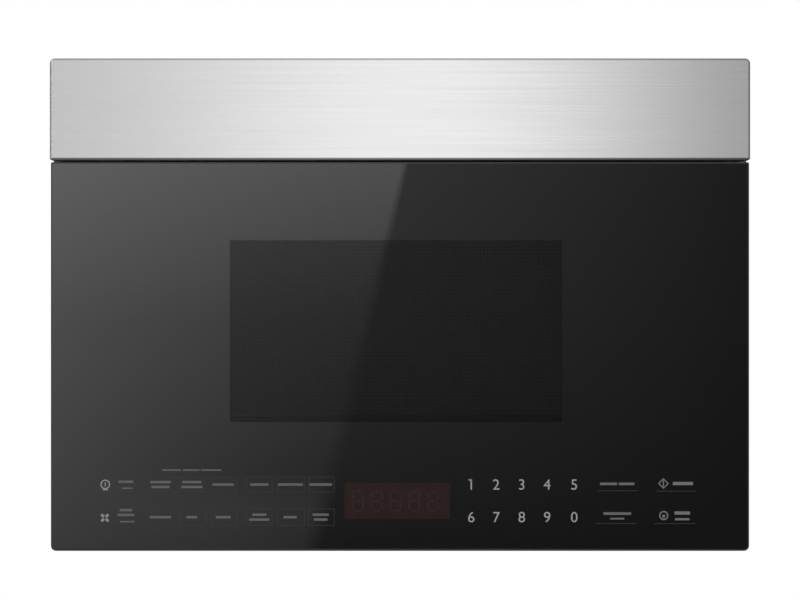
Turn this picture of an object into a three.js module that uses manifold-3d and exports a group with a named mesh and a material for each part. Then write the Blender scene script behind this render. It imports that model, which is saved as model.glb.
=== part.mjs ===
// Over-the-range microwave with a recirculating hood fan. All sizes are in millimetres.
// x runs to the right across the front, y runs back to the wall and z runs up.
// Cabinet pieces are measured from the front plate's face (y = 0 there, the wall at y = CASE_DEPTH).
// Door pieces are measured from the door's front face (y = 0 there, the back at y = DOOR_THICKNESS).

import * as THREE from 'three';
import { mergeVertices } from 'three/addons/utils/BufferGeometryUtils.js';
import Module from 'manifold-3d';

const wasm = await Module();
wasm.setup();

// ---------------------------------------------------------------- outside sizes
const WIDTH = 606;
const HEIGHT = 426;
const CASE_DEPTH = 355;
const DOOR_GAP = 3;
const DOOR_THICKNESS = 44;
const BAND_HEIGHT = 88.2;
const BAND_SEAM = 1.6;
const BASE_RISE = 1.5;
const DOOR_SETBACK = 1;

// ---------------------------------------------------------------- sheets and fits
const SHEET = 1;
const BAND_SHEET = 1.2;
const FIT = 0.3;
const RUNNING_GAP = 1;
const FLANGE = 15;
const CORNER_RADIUS = 4.3;
const ROUND_SIDES = 24;
const CORNER_STEPS = 4;

// ---------------------------------------------------------------- planes that follow from them
const DEPTH = CASE_DEPTH + DOOR_GAP + DOOR_THICKNESS;
const PLATE_PLANE = DEPTH / 2 - CASE_DEPTH;
const DOOR_PLANE = -DEPTH / 2;
const BAND_FRONT = -DOOR_GAP - DOOR_THICKNESS;
const BAND_BOTTOM = HEIGHT - BAND_HEIGHT;
const DOOR_TOP = BAND_BOTTOM - BAND_SEAM;
const DOOR_HALF = WIDTH / 2 - DOOR_SETBACK;
const WRAP_INNER = WIDTH / 2 - SHEET;
const FITTED_HALF = WRAP_INNER - FIT;
const BASE_TOP = BASE_RISE + SHEET;
const WRAP_REAR = CASE_DEPTH - SHEET - FIT;
const ROOF_UNDER = HEIGHT - SHEET;

// ---------------------------------------------------------------- oven cavity and the spaces round it
const CORE_WIDTH = 80;
const BAY_MARGIN = 6.35;
const BAY_WIDTH = CORE_WIDTH + 2 * BAY_MARGIN;
const LEFT_SPACE = 86;
const REAR_SPACE = 8.4;
const DOOR_RAIL = 32.2;
const CAVITY_FLOOR = 66;
const CAVITY_FLANGE = 9;
const CAVITY_CORNER = 6;
const MOUTH_CORNER = 2;
const BAY_LEFT = WRAP_INNER - BAY_WIDTH;
const CAVITY_LEFT = LEFT_SPACE - WRAP_INNER;
const CAVITY_RIGHT = BAY_LEFT - SHEET - FIT;
const CAVITY_X = (CAVITY_LEFT + CAVITY_RIGHT) / 2;
const CAVITY_TOP = DOOR_TOP - DOOR_RAIL;
const CAVITY_FRONT = SHEET + FIT;
const CAVITY_REAR = WRAP_REAR - SHEET - REAR_SPACE;
const CAVITY_DEPTH = CAVITY_REAR - CAVITY_FRONT;
const PLENUM_FLOOR = CAVITY_TOP + SHEET + FIT;
const PLENUM_HEIGHT = ROOF_UNDER - PLENUM_FLOOR;

// ---------------------------------------------------------------- case sizes
const VENT_SIDE = 18;
const VENT_WIDTH = WIDTH - 2 * VENT_SIDE;
const VENT_LENGTH = 36;
const VENT_DEPTH = 5;
const VENT_LIP = 6;
const VENT_COLUMNS = 7;
const VENT_ROWS = 4;
const VENT_BAR = 10;
const VENT_SLOT_WIDTH = 3.4;
const VENT_LEAN = THREE.MathUtils.degToRad(30);
const BAND_BEND = 1.6;
const BAND_LOW_CORNER = 2.4;
const BAND_LEDGE = 26;
const GRILLE_RECESS_TOP = HEIGHT - BAND_SHEET - FIT;
const HANGING_SLOT_WIDTH = 40;
const HANGING_SLOT_HEIGHT = 6;
const LAMP_WIDTH = 90;
const LAMP_LENGTH = 50;
const LAMP_FRONT = 34;
const LAMP_MIDDLE = LAMP_FRONT + LAMP_LENGTH / 2;
const LENS_LIP = 4;
const LENS_THICKNESS = 1.5;
const BULB_HEIGHT = 24;
const BULB_RADIUS = 12;
const BULB_LENGTH = 43;
const BULB_NECK = 7;
const HOLDER_LENGTH = 22;
const HOLDER_WIDTH = 26;
const HOLDER_GAP = 5;
const FILTER_WIDTH = 130;
const FILTER_THICKNESS = 8;
const FILTER_SIDE_SPACE = 73;
const FILTER_FRONT = 132;
const FILTER_REAR_SPACE = 33;
const FILTER_LENGTH = CASE_DEPTH - FILTER_FRONT - FILTER_REAR_SPACE;
const FILTER_RIM = 8;
const FILTER_POCKET = 2.5;
const FILTER_TAB = 7;
const TAB_INSET = 30;
const TAB_SHEET = 1.2;
const FILTER_OUTER_EDGE = WIDTH / 2 - FILTER_SIDE_SPACE;
const FILTER_INNER_EDGE = FILTER_OUTER_EDGE - FILTER_WIDTH;
const COVER_WIDTH = 250;
const COVER_LENGTH = 90;
const COVER_LIP = 8;
const CORD_SIDE_SPACE = 40;
const CORD_REAR_SPACE = 47.7;
const CORD_X = WRAP_INNER - CORD_SIDE_SPACE;
const CORD_DEPTH = WRAP_REAR - CORD_REAR_SPACE;
const CORD_HOLE = 11;
const CORD_BORE = 5;
const GROMMET_LIP = 3;
const GROMMET_DEPTH = 4;
const GROMMET_SINK = 0.2;
const BLOWER_DEPTH = 262;
const BLOWER_RISE = 1.85;
const BLOWER_HEIGHT = (PLENUM_FLOOR + ROOF_UNDER) / 2 + BLOWER_RISE;
const LATCH_SIDE_SPACE = 40;
const LATCH_X = DOOR_HALF - LATCH_SIDE_SPACE;
const LOWER_HOOK_RISE = 46;
const UPPER_HOOK_DROP = 32;
const LATCH_HEIGHTS = [CAVITY_FLOOR + LOWER_HOOK_RISE, CAVITY_TOP - UPPER_HOOK_DROP];
const HOOK_THICKNESS = 5;
const HOOK_HEIGHT = 14;
const HOOK_DROP = 3.5;
const LATCH_TRAVEL = 4;
const SLOT_MARGIN = 1.6;
const CHARCOAL_WIDTH = 300;
const CHARCOAL_THICKNESS = 14;
const CHARCOAL_FRAME = 7;
const CHARCOAL_PANES = 4;
const CHARCOAL_POCKET = 3;
const CHARCOAL_BOTTOM = BAND_BOTTOM + BAND_SHEET + FIT;
const CHARCOAL_TOP = ROOF_UNDER - RUNNING_GAP;
const CHARCOAL_FRONT = VENT_LIP + RUNNING_GAP;
const INTAKE_SLOTS = 5;
const INTAKE_PITCH = 9;
const INTAKE_SLOT_LENGTH = 100;
const INTAKE_SLOT_WIDTH = 3.5;
const INTAKE_INSET = 4;

// ---------------------------------------------------------------- turntable sizes
const TRAY_CLEARANCE = 14;
const TRAY_RADIUS = CAVITY_DEPTH / 2 - TRAY_CLEARANCE;
const TRAY_THICKNESS = 4.5;
const TRAY_RISE = 9;
const TRAY_SLOPE = 26;
const DISH_INSET = 7.5;
const DISH_RADIUS = TRAY_RADIUS - DISH_INSET;
const DISH_DEPTH = 3;
const DISH_DRAFT = 5;
const DISH_SIDES = 36;
const DRIVE_HOLE = 7;
const TURN_Y = CAVITY_FRONT + CAVITY_DEPTH / 2;
const TURN_CENTRE = [CAVITY_X, TURN_Y];
const DISH_FLOOR = CAVITY_FLOOR - DISH_DEPTH;
const DISH_UNDER = DISH_FLOOR - SHEET;
const ROLLER_RADIUS = 9;
const ROLLER_WIDTH = 8;
const TRACK_INSET = 47.5;
const ROLLER_TRACK = TRAY_RADIUS - TRACK_INSET;
const AXLE_RADIUS = 2.5;
const AXLE_CAP = 1.2;
const AXLE_BOSS = 9;
const RING_WIDTH = 8;
const RING_GAP = 3;
const RING_THICKNESS = 6;
const SHAFT_RADIUS = 3.5;
const SHAFT_FLAT = 2.3;
const SHAFT_IN_MOTOR = 11;
const COUPLER_ARMS = 3;
const COUPLER_REACH = 24;
const COUPLER_HUB = 9;
const COUPLER_ARM = 8;
const LUG_LENGTH = 11;
const LUG_WIDTH = 10;
const LUG_HEIGHT = 7.5;
const MOTOR_RADIUS = 24.5;
const MOTOR_HEIGHT = 21;
const MOTOR_EAR_REACH = 9;
const MOTOR_EAR_WIDTH = 12;
const AXLE_HEIGHT = DISH_FLOOR + FIT + ROLLER_RADIUS;
const TRAY_UNDER = AXLE_HEIGHT + ROLLER_RADIUS + FIT;
const MOTOR_TOP = DISH_UNDER - FIT;
const WHEEL_INNER = ROLLER_TRACK - ROLLER_WIDTH / 2;
const WHEEL_OUTER = ROLLER_TRACK + ROLLER_WIDTH / 2;
const RING_OUTER = WHEEL_INNER - RING_GAP;
const RING_INNER = RING_OUTER - RING_WIDTH;

// ---------------------------------------------------------------- oven lamp, waveguide and cooling fan
const LAMP_Y = 60;
const LAMP_DROP = 42;
const LAMP_Z = CAVITY_TOP - LAMP_DROP;
const LAMP_BULB = 6;
const LAMP_BOX_REACH = 30;
const LAMP_BOX_WIDTH = 40;
const LAMP_BOX_HEIGHT = 36;
const LAMP_COLLAR = 22;
const LAMP_COLLAR_REACH = 12;
const PERFORATION_RADIUS = 2.4;
const PERFORATION_PITCH = 8;
const GUIDE_Y = 224;
const GUIDE_DROP = 83;
const GUIDE_BOTTOM = CAVITY_TOP - GUIDE_DROP;
const GUIDE_WIDTH = 76;
const GUIDE_HEIGHT = 41;
const GUIDE_WALL = 1.2;
const PORT_WIDTH = 60;
const PORT_INSET = 4;
const MICA = 0.8;
const MICA_OVERLAP = 6;
const MAGNETRON_GAP = 5;
const MAGNETRON_WIDTH = CORE_WIDTH;
const MAGNETRON_X = BAY_LEFT + MAGNETRON_GAP + MAGNETRON_WIDTH / 2;
const MAGNETRON_LENGTH = 95;
const MAGNETRON_HEIGHT = 88;
const MAGNETRON_FINS = 5;
const FILTER_BOX_HEIGHT = 22;
const YOKE_SHEET = 2;
const YOKE_LENGTH = 76;
const FIN_LENGTH = 66.5;
const ANODE_RADIUS = 19;
const ANTENNA_RADIUS = 7.5;
const ANTENNA_LENGTH = 22;
const ANTENNA_MARGIN = 2;
const GUIDE_LENGTH = MAGNETRON_WIDTH + 1;
const CUTOUT_X = 52;
const CUTOUT_Y = 97;
const CUTOUT_WIDTH = 24;
const CUTOUT_LENGTH = 14;
const CUTOUT_RADIUS = 6.5;
const CUTOUT_HEIGHT = 9;
const BLADE_OFFSETS = [-6, 6];
const BLADE_TOP = 18;
const FAN_DROP = 132;
const FAN_Z = CAVITY_TOP - FAN_DROP;
const FAN_SIDE_GAP = 4.7;
const FAN_REAR_SPACE = 39.7;
const FAN_FRONT = WRAP_REAR - FAN_REAR_SPACE;
const FAN_WIDTH = BAY_WIDTH - FAN_SIDE_GAP;
const FAN_HEIGHT = 110;
const FAN_DEPTH = 20;
const FAN_FRAME = 5;
const FAN_RADIUS = FAN_WIDTH / 2 - FAN_FRAME;
const FAN_TIP_GAP = 2;
const FAN_BLADES = 6;
const FAN_X = BAY_LEFT + FAN_WIDTH / 2;
const FAN_SHAFT = 2;
const FAN_HUB = 11;
const FAN_BLADE_CHORD = 17;
const FAN_BLADE_SHEET = 1.4;
const FAN_BLADE_TILT = THREE.MathUtils.degToRad(62);
const SPIDER_WIDTH = 8;
const SPIDER_DEPTH = 3;
const SPIDER_HUB = 12;
const FAN_MOTOR_WIDTH = 46;
const FAN_MOTOR_HEIGHT = 50;
const FAN_MOTOR_DEPTH = 13;
const FAN_MOTOR_RISE = 4;
const FAN_COIL_WIDTH = 26;
const FAN_COIL_HEIGHT = 18;
const FAN_COIL_RISE = 22;
const FAN_BEARING = 10;
const FAN_BEARING_REACH = 17;

// ---------------------------------------------------------------- power bay sizes
const CORE_OFFSET = 0.65;
const CORE_X = BAY_LEFT + BAY_WIDTH / 2 + CORE_OFFSET;
const CORE_Y = 80;
const CORE_HEIGHT = 68;
const CORE_STACK = 46;
const CORE_LIMB = 24;
const CORE_WINDOW = 14;
const CORE_WINDOW_HEIGHT = 44;
const CORE_FOOT = 2.5;
const CORE_FOOT_REACH = 11;
const COIL_OVERHANG = 12;
const COIL_CORNER = 9;
const COIL_SPACER = 3;
const BAY_FLOOR = BASE_TOP + FIT;
const CORE_MIDDLE = BAY_FLOOR + 2 + CORE_HEIGHT / 2;
const CAPACITOR_SIDE_SPACE = 33;
const CAPACITOR_LEAD = 63;
const CAPACITOR_X = WRAP_INNER - CAPACITOR_SIDE_SPACE;
const CAPACITOR_Y = GUIDE_Y - CAPACITOR_LEAD;
const CAPACITOR_WIDTH = 34;
const CAPACITOR_LENGTH = 54;
const CAPACITOR_HEIGHT = 80;
const TERMINAL_OFFSETS = [-10, 10];
const TERMINAL_WIDTH = 6;
const TERMINAL_SHEET = 1.2;
const TERMINAL_HEIGHT = 11;
const STRAP_SHEET = 1.2;
const STRAP_LEVEL = 30;
const STRAP_WIDTH = 12;
const CLAMP_LEG = 14;
const CLAMP_FOOT = 11;
const DIODE_RADIUS = 4;
const DIODE_LENGTH = 22;
const DIODE_RISE = 5;
const DIODE_LUG = 10;
const BOARD = 1.6;
const BOARD_STANDOFF = 6;
const BOARD_POST = 3;
const BOARD_POST_INSET = 6;
const BOARD_RISE = 18;
const BOARDS_TOP = CAVITY_TOP + BOARD_RISE;
const POWER_BOARD_HEIGHT = 110;
const POWER_BOARD_DEPTHS = [56, 160];
const RELAY_DEPTHS = [70, 92, 114];
const RELAY_SIZE = [16, 15, 28];
const RELAY_BELOW_TOP = 80;
const BOARD_COIL_DEPTH = 140;
const BOARD_COIL_SIZE = [26, 32, 36];
const BOARD_COIL_BELOW_TOP = 34;
const CONNECTOR_DEPTH = 88;
const CONNECTOR_SIZE = [10, 48, 10];
const CONNECTOR_BELOW_TOP = 21;
const NOISE_BOARD_WIDTH = 74;
const NOISE_BOARD_HEIGHT = 80;
const NOISE_BOARD_OFFSET = 1.65;
const CHOKE_COIL_RADIUS = 14;
const CHOKE_COIL_BORE = 5;
const CHOKE_COIL_BELOW_TOP = 56;
const CHOKE_COIL_DEPTH = 12;
const BOX_CAPACITOR_SIZE = [26, 14, 18];
const BOX_CAPACITOR_BELOW_TOP = 59;
const FUSE_SIZE = [50, 9, 10];
const FUSE_BELOW_TOP = 21;

// ---------------------------------------------------------------- hood blower sizes
const DRUM_SPACE = 31.7;
const DRUM_RADIUS = (PLENUM_HEIGHT - DRUM_SPACE) / 2;
const DRUM_WIDTH = 60;
const DRUM_BLADES = 18;
const DRUM_PLATE = 1.5;
const BLADE_DEPTH = 9;
const BLADE_SHEET = 1;
const BLADE_TIP_INSET = 0.4;
const BLADE_SWEEP = THREE.MathUtils.degToRad(14);
const BLADE_STEPS = 2;
const DRUM_OFFSET = 78;
const DRUM_HUB = 9;
const DRUM_HUB_LENGTH = 18;
const BLOWER_SHAFT_RADIUS = 4;
const SHAFT_IN_DRUM = 17;
const BLOWER_MOTOR_RADIUS = 34;
const BLOWER_MOTOR_LENGTH = 60;
const MOTOR_CAP = 4;
const MOTOR_BEARING = 10;
const MOTOR_SOLE = 20;
const SCROLL_GAP = 4;
const SCROLL_GROWTH = 6;
const SCROLL_SIDE_GAP = 5;
const SCROLL_START = THREE.MathUtils.degToRad(150);
const SCROLL_END = THREE.MathUtils.degToRad(450);
const SCROLL_STEPS = 18;
const OUTLET_REACH = 75;
const INLET_RADIUS = 35;
const FOOT_HALF = 18;
const FOOT_REACH = 10;
const BLOWER_FEET = PLENUM_FLOOR - BLOWER_HEIGHT;

// ---------------------------------------------------------------- door and latch sizes
const GLASS = 4;
const FRAME_LIP = 1.2;
const DOOR_LOW_CORNER = 4.5;
const DOOR_HIGH_CORNER = 1.5;
const DOOR_WALL = 3;
const DOOR_FLANGE = 2.5;
const GLASS_LAND = 17;
const REAR_CORNER = 8;
const PULL_DEPTH = 22;
const PULL_LOW = 60;
const PULL_TOP_SPACE = 56.2;
const PULL_HIGH = [PULL_LOW, DOOR_TOP - PULL_TOP_SPACE];
const PULL_FRONT = 15;
const PULL_SPAN = [PULL_FRONT, DOOR_THICKNESS - DOOR_WALL];
const PULL_WALL = 2.5;
const PULL_CORNER = 5;
const MOUTH_WIDE = [CAVITY_LEFT, CAVITY_RIGHT];
const MOUTH_HIGH = [CAVITY_FLOOR, CAVITY_TOP];
const SEAL_OVERLAP = 10;
const PANEL_REACH = 26;
const CHOKE_DEPTH = 17;
const CHOKE_COVER = 1.7;
const CHOKE_TOOTH_PITCH = 40;
const CHOKE_SLOT = 8;
const COVER_RIM = 6;
const PANEL_EAR = 10;
const PANEL_EAR_INSET = 20;
const PANEL_BACK = DOOR_THICKNESS - CHOKE_COVER - FIT;
const WINDOW_X = -3.4;
const WINDOW_WIDTH = 286.4;
const WINDOW_LOW = 111.85;
const WINDOW_TOP_SPACE = 67.45;
const WINDOW_HIGH = [WINDOW_LOW, DOOR_TOP - WINDOW_TOP_SPACE];
const WINDOW_MARGIN = 8;
const SCREEN_MARGIN = 14;
const SCREEN_SHEET = 0.6;
const SCREEN_BACK = PANEL_BACK - SHEET - FIT;
const INNER_WINDOW_INSET = 0.2;
const DISPLAY_X = -2;
const DISPLAY_Z = 42.5;
const DISPLAY_WIDTH = 90;
const DISPLAY_HEIGHT = 31;
const DISPLAY_BODY = 9;
const DISPLAY_BODY_RIM = 5;
const KEYS_SIDE_SPACE = 40;
const KEYS_WIDE = [KEYS_SIDE_SPACE - DOOR_HALF, DOOR_HALF - KEYS_SIDE_SPACE];
const KEYS_HIGH = [20, 76];
const CHIP_X = 101;
const CHIP_SIDE = 22;
const CHIP_HEIGHT = 2.5;
const SOCKET_X = 170;
const SOCKET_WIDTH = 40;
const SOCKET_SIDE = 10;
const SOCKET_HEIGHT = 6;
const PIN_SIDE_INSET = 12;
const PIN_REAR_INSET = 16;
const PIN_X = -DOOR_HALF + PIN_SIDE_INSET;
const PIN_DOOR_Y = DOOR_THICKNESS - PIN_REAR_INSET;
const PIN_CASE_Y = -DOOR_GAP - PIN_REAR_INSET;
const PIN_RADIUS = 3;
const ARM_RADIUS = 8;
const ARM_THICKNESS = 3;
const ARM_SWING_GAP = 4;
const ARM_START = DOOR_WALL + RUNNING_GAP;
const BOSS_START = ARM_START + ARM_THICKNESS + FIT;
const BOSS_HEIGHT = 12;
const PIN_REACH = 10;
const BRACKET_LEG = 26;
const BRACKET_SHEET = 2;
const HINGE_CLEARANCE = 6;
const BAR_REAR_INSET = 6;
const BAR_DEPTH = 10;
const BAR_REAR = DOOR_THICKNESS - BAR_REAR_INSET;
const BAR_FRONT = BAR_REAR - BAR_DEPTH;
const BAR_OVERRUN = 16;
const BAR_STOP = 6;
const GUIDE_SHARES = [0.35, 0.65];
const GUIDE_TALL = 16;
const GUIDE_BLOCK = 14;
const HOOK_REACH = 10;
const HOOK_NOSE = 8;
const HOOK_NECK = DOOR_THICKNESS + DOOR_GAP + HOOK_REACH;
const HOOK_TIP = HOOK_NECK + HOOK_NOSE;
const BAR_BOTTOM = LATCH_HEIGHTS[0] - BAR_OVERRUN;
const BAR_TOP = LATCH_HEIGHTS[1] + BAR_OVERRUN;
const SPRING_LENGTH = 18;
const SPRING_RADIUS = 3.6;
const SPRING_WIRE = 0.6;
const SPRING_TURNS = 4;
const TURN_STEPS = 8;
const SWITCH_FRONT = 24;
const SWITCH_LENGTH = 16;
const SWITCH_HEIGHT = 28;
const SWITCH_WIDTH = 10;
const BUTTON_RADIUS = 1.3;
const LATCH_BOARD_OVERRUN = 26;
const LATCH_BOARD_REACH = 18;
const LATCH_BOARD_SHEET = 2;
const LEDGE_HEIGHT = 8;
const TIP_CASE_Y = HOOK_TIP - DOOR_THICKNESS - DOOR_GAP;
const NECK_CASE_Y = HOOK_NECK - DOOR_THICKNESS - DOOR_GAP;

// ---------------------------------------------------------------- shapes and solids
const around = (middle, size) => [middle - size / 2, middle + size / 2];
const grow = ([low, high], by) => [low - by, high + by];
// side is 1 for the right-hand one of a pair and -1 for its mirror image on the left.
const mirrored = (side, [near, far]) => (side > 0 ? [near, far] : [-far, -near]);

// Columns are where the drawing's u, the drawing's v and the extrusion go.
const DRAWN_ACROSS = {
  z: new THREE.Matrix4(),
  y: new THREE.Matrix4().makeBasis(
    new THREE.Vector3(1, 0, 0),
    new THREE.Vector3(0, 0, 1),
    new THREE.Vector3(0, -1, 0),
  ),
  x: new THREE.Matrix4().makeBasis(
    new THREE.Vector3(0, 1, 0),
    new THREE.Vector3(0, 0, 1),
    new THREE.Vector3(1, 0, 0),
  ),
};

// Points land on a fine grid, so that faces meant to share a plane share its exact number.
const GRID_LINES_PER_MILLIMETRE = 1000;
const onGrid = (value) => Math.round(value * GRID_LINES_PER_MILLIMETRE) / GRID_LINES_PER_MILLIMETRE;

function solidOf(geometry) {
  const bare = geometry.clone();
  bare.deleteAttribute('normal');
  bare.deleteAttribute('uv');
  const welded = mergeVertices(bare, 1e-4);
  return new wasm.Manifold(new wasm.Mesh({
    numProp: 3,
    vertProperties: Float32Array.from(welded.attributes.position.array, onGrid),
    triVerts: new Uint32Array(welded.index.array),
  }));
}

// Joining leaves seams across flat faces, and clearing them takes needle-thin facets away too.
const NEEDLE_WIDTH = 0.006;

function geometryOf(solid) {
  const mesh = solid.asOriginal().simplify(NEEDLE_WIDTH).getMesh();
  const geometry = new THREE.BufferGeometry();
  geometry.setAttribute('position', new THREE.BufferAttribute(mesh.vertProperties, 3));
  geometry.setIndex(new THREE.BufferAttribute(mesh.triVerts, 1));
  return geometry;
}

function box([x0, x1], [y0, y1], [z0, z1]) {
  const geometry = new THREE.BoxGeometry(x1 - x0, y1 - y0, z1 - z0);
  geometry.translate((x0 + x1) / 2, (y0 + y1) / 2, (z0 + z1) / 2);
  return solidOf(geometry);
}

// A drawing is (x, y) for axis z, (x, z) for axis y and (y, z) for axis x.
// An arc is drawn in arcSteps straight steps, twice the library's count of curve segments.
function extrude(axis, drawing, [from, to], arcSteps = CORNER_STEPS, bevel = 0) {
  const geometry = new THREE.ExtrudeGeometry(drawing, {
    depth: to - from - 2 * bevel,
    curveSegments: arcSteps / 2,
    bevelEnabled: bevel > 0,
    bevelThickness: bevel,
    bevelSize: bevel,
    bevelOffset: -bevel,
    bevelSegments: 3,
  });
  geometry.translate(0, 0, bevel);
  geometry.applyMatrix4(DRAWN_ACROSS[axis]);
  const start = axis === 'y' ? to : from;
  const along = { x: [start, 0, 0], y: [0, start, 0], z: [0, 0, start] }[axis];
  geometry.translate(...along);
  return solidOf(geometry);
}

function circle([u, v], radius) {
  const shape = new THREE.Shape();
  shape.absarc(u, v, radius, 0, Math.PI * 2, false);
  return shape;
}

// Corner radii run from the lower left, against the clock.
function roundedRectangle([u0, u1], [v0, v1], [lowLeft, lowRight, highRight, highLeft]) {
  const shape = new THREE.Shape();
  const corner = (u, v, radius, start) => {
    if (radius > 0) shape.absarc(u, v, radius, start, start + Math.PI / 2, false);
    else shape.lineTo(u, v);
  };
  shape.moveTo(u0 + lowLeft, v0);
  corner(u1 - lowRight, v0 + lowRight, lowRight, -Math.PI / 2);
  corner(u1 - highRight, v1 - highRight, highRight, 0);
  corner(u0 + highLeft, v1 - highLeft, highLeft, Math.PI / 2);
  corner(u0 + lowLeft, v0 + lowLeft, lowLeft, Math.PI);
  return shape;
}

function rod(axis, centre, radius, span, sides = ROUND_SIDES) {
  return extrude(axis, circle(centre, radius), span, sides);
}

// Profile points are [radius, height], from the axis and back to it.
function turned(profile, [x, y], sides = ROUND_SIDES) {
  const points = profile.map(([radius, height]) => new THREE.Vector2(radius, height));
  const geometry = new THREE.LatheGeometry(points, sides);
  geometry.rotateX(Math.PI / 2);
  geometry.translate(x, y, 0);
  return solidOf(geometry);
}

function moved(solid, matrix) {
  const geometry = geometryOf(solid);
  geometry.applyMatrix4(matrix);
  return solidOf(geometry);
}

const union = (solids) => solids.reduce((whole, next) => whole.add(next));

function cut(whole, ...tools) {
  return tools.reduce((rest, tool) => rest.subtract(tool), whole);
}

function finish(colour, roughness, metalness) {
  return new THREE.MeshStandardMaterial({ color: colour, roughness, metalness });
}

function piece(parent, name, solid, material, [x, y, z] = [0, 0, 0]) {
  const mesh = new THREE.Mesh(geometryOf(solid), material);
  mesh.name = name;
  mesh.position.set(x, y, z);
  parent.add(mesh);
}

const microwave = new THREE.Group();
const cabinet = new THREE.Group();
cabinet.position.y = PLATE_PLANE;
const door = new THREE.Group();
door.position.y = DOOR_PLANE;
microwave.add(cabinet, door);

// ---------------------------------------------------------------- case

const paint = () => finish(0x333335, 0.55, 0.3);
const zinc = () => finish(0x9a9ea0, 0.45, 0.8);
const stainless = () => finish(0xd2d2d2, 0.32, 1);
const enamel = () => finish(0xb9b8b2, 0.4, 0.1);
const darkPlastic = () => finish(0x1d1d1e, 0.5, 0);
const palePlastic = () => finish(0xd9d6cc, 0.5, 0);

function caseOutline(inset, bottom) {
  const radius = CORNER_RADIUS - inset;
  const sides = [-WIDTH / 2 + inset, WIDTH / 2 - inset];
  return roundedRectangle(sides, [bottom, HEIGHT - inset], [0, 0, radius, radius]);
}

function cabinetWrap() {
  const shell = extrude('y', caseOutline(0, BASE_RISE), [0, WRAP_REAR]);
  const hollow = extrude('y', caseOutline(SHEET, 0), [-SHEET, WRAP_REAR + SHEET]);
  const roof = [ROOF_UNDER - SHEET, HEIGHT + SHEET];
  const coverHole = box(around(0, COVER_WIDTH), around(BLOWER_DEPTH, COVER_LENGTH), roof);
  const cordHole = rod('z', [CORD_X, CORD_DEPTH], CORD_HOLE, roof);
  return cut(shell, hollow, coverHole, cordHole);
}

function rearPlate() {
  const plate = extrude('y', caseOutline(0, BASE_RISE), [CASE_DEPTH - SHEET, CASE_DEPTH]);
  const hangingSlots = [-WIDTH / 3, WIDTH / 3].map((x) => (
    box(
      around(x, HANGING_SLOT_WIDTH),
      [CASE_DEPTH - 2 * SHEET, CASE_DEPTH + SHEET],
      around(BASE_TOP + FLANGE, HANGING_SLOT_HEIGHT),
    )
  ));
  return cut(plate, ...hangingSlots);
}

function coverPlate() {
  const top = ROOF_UNDER - FIT;
  const lip = box(
    around(0, COVER_WIDTH + 2 * COVER_LIP),
    around(BLOWER_DEPTH, COVER_LENGTH + 2 * COVER_LIP),
    [top - SHEET, top],
  );
  const field = box(
    around(0, COVER_WIDTH - 2 * FIT),
    around(BLOWER_DEPTH, COVER_LENGTH - 2 * FIT),
    [top - SHEET, HEIGHT],
  );
  const pressing = box(
    around(0, COVER_WIDTH - 2 * FIT - 2 * SHEET),
    around(BLOWER_DEPTH, COVER_LENGTH - 2 * FIT - 2 * SHEET),
    [top - 2 * SHEET, HEIGHT - SHEET],
  );
  return cut(lip.add(field), pressing);
}

function fasciaBand() {
  const sides = WIDTH / 2;
  const rear = -FIT;
  const outline = roundedRectangle(
    [-sides, sides],
    [BAND_BOTTOM, HEIGHT],
    [BAND_LOW_CORNER, BAND_LOW_CORNER, CORNER_RADIUS, CORNER_RADIUS],
  );
  const inner = roundedRectangle(
    [-sides + BAND_SHEET, sides - BAND_SHEET],
    [BAND_BOTTOM + BAND_SHEET, HEIGHT - BAND_SHEET],
    [1, 1, CORNER_RADIUS - BAND_SHEET, CORNER_RADIUS - BAND_SHEET],
  );
  const block = extrude('y', outline, [BAND_FRONT, rear + BAND_BEND], CORNER_STEPS, BAND_BEND);
  const trimmed = cut(block, box([-WIDTH, WIDTH], [rear, BAND_BEND], [0, 2 * HEIGHT]));
  const hollow = extrude('y', inner, [BAND_FRONT + BAND_SHEET, rear + BAND_SHEET]);
  const ventHole = box(
    around(0, VENT_WIDTH + 2 * FIT),
    [-VENT_LENGTH - 2 * FIT, BAND_SHEET],
    [HEIGHT - 2 * BAND_SHEET, HEIGHT + SHEET],
  );
  const ledge = box(
    [-FITTED_HALF + SHEET, FITTED_HALF - SHEET],
    [rear - BAND_SHEET, BAND_LEDGE],
    [BAND_BOTTOM, BAND_BOTTOM + BAND_SHEET],
  );
  return cut(trimmed, hollow, ventHole).add(ledge);
}

// The louvres lean so that the air leaves away from the kitchen cabinet above.
function ventGrille() {
  const lip = box(
    around(0, VENT_WIDTH + 2 * VENT_LIP),
    [-VENT_LENGTH - FIT - VENT_LIP, -FIT + VENT_LIP],
    [HEIGHT - VENT_DEPTH, GRILLE_RECESS_TOP],
  );
  const field = box(around(0, VENT_WIDTH), [-VENT_LENGTH - FIT, -FIT], [HEIGHT - VENT_DEPTH, HEIGHT]);
  const columnPitch = (VENT_WIDTH - VENT_BAR) / VENT_COLUMNS;
  const rowPitch = VENT_LENGTH / VENT_ROWS;
  const slots = [];
  for (let column = 0; column < VENT_COLUMNS; column += 1) {
    for (let row = 0; row < VENT_ROWS; row += 1) {
      const x = (column - (VENT_COLUMNS - 1) / 2) * columnPitch;
      const y = -FIT - VENT_LENGTH + (row + 0.5) * rowPitch;
      const slot = new THREE.BoxGeometry(columnPitch - VENT_BAR, VENT_SLOT_WIDTH, 4 * VENT_DEPTH);
      slot.rotateX(VENT_LEAN);
      slot.translate(x, y, HEIGHT - VENT_DEPTH / 2);
      slots.push(solidOf(slot));
    }
  }
  return cut(lip.add(field), ...slots);
}

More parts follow.
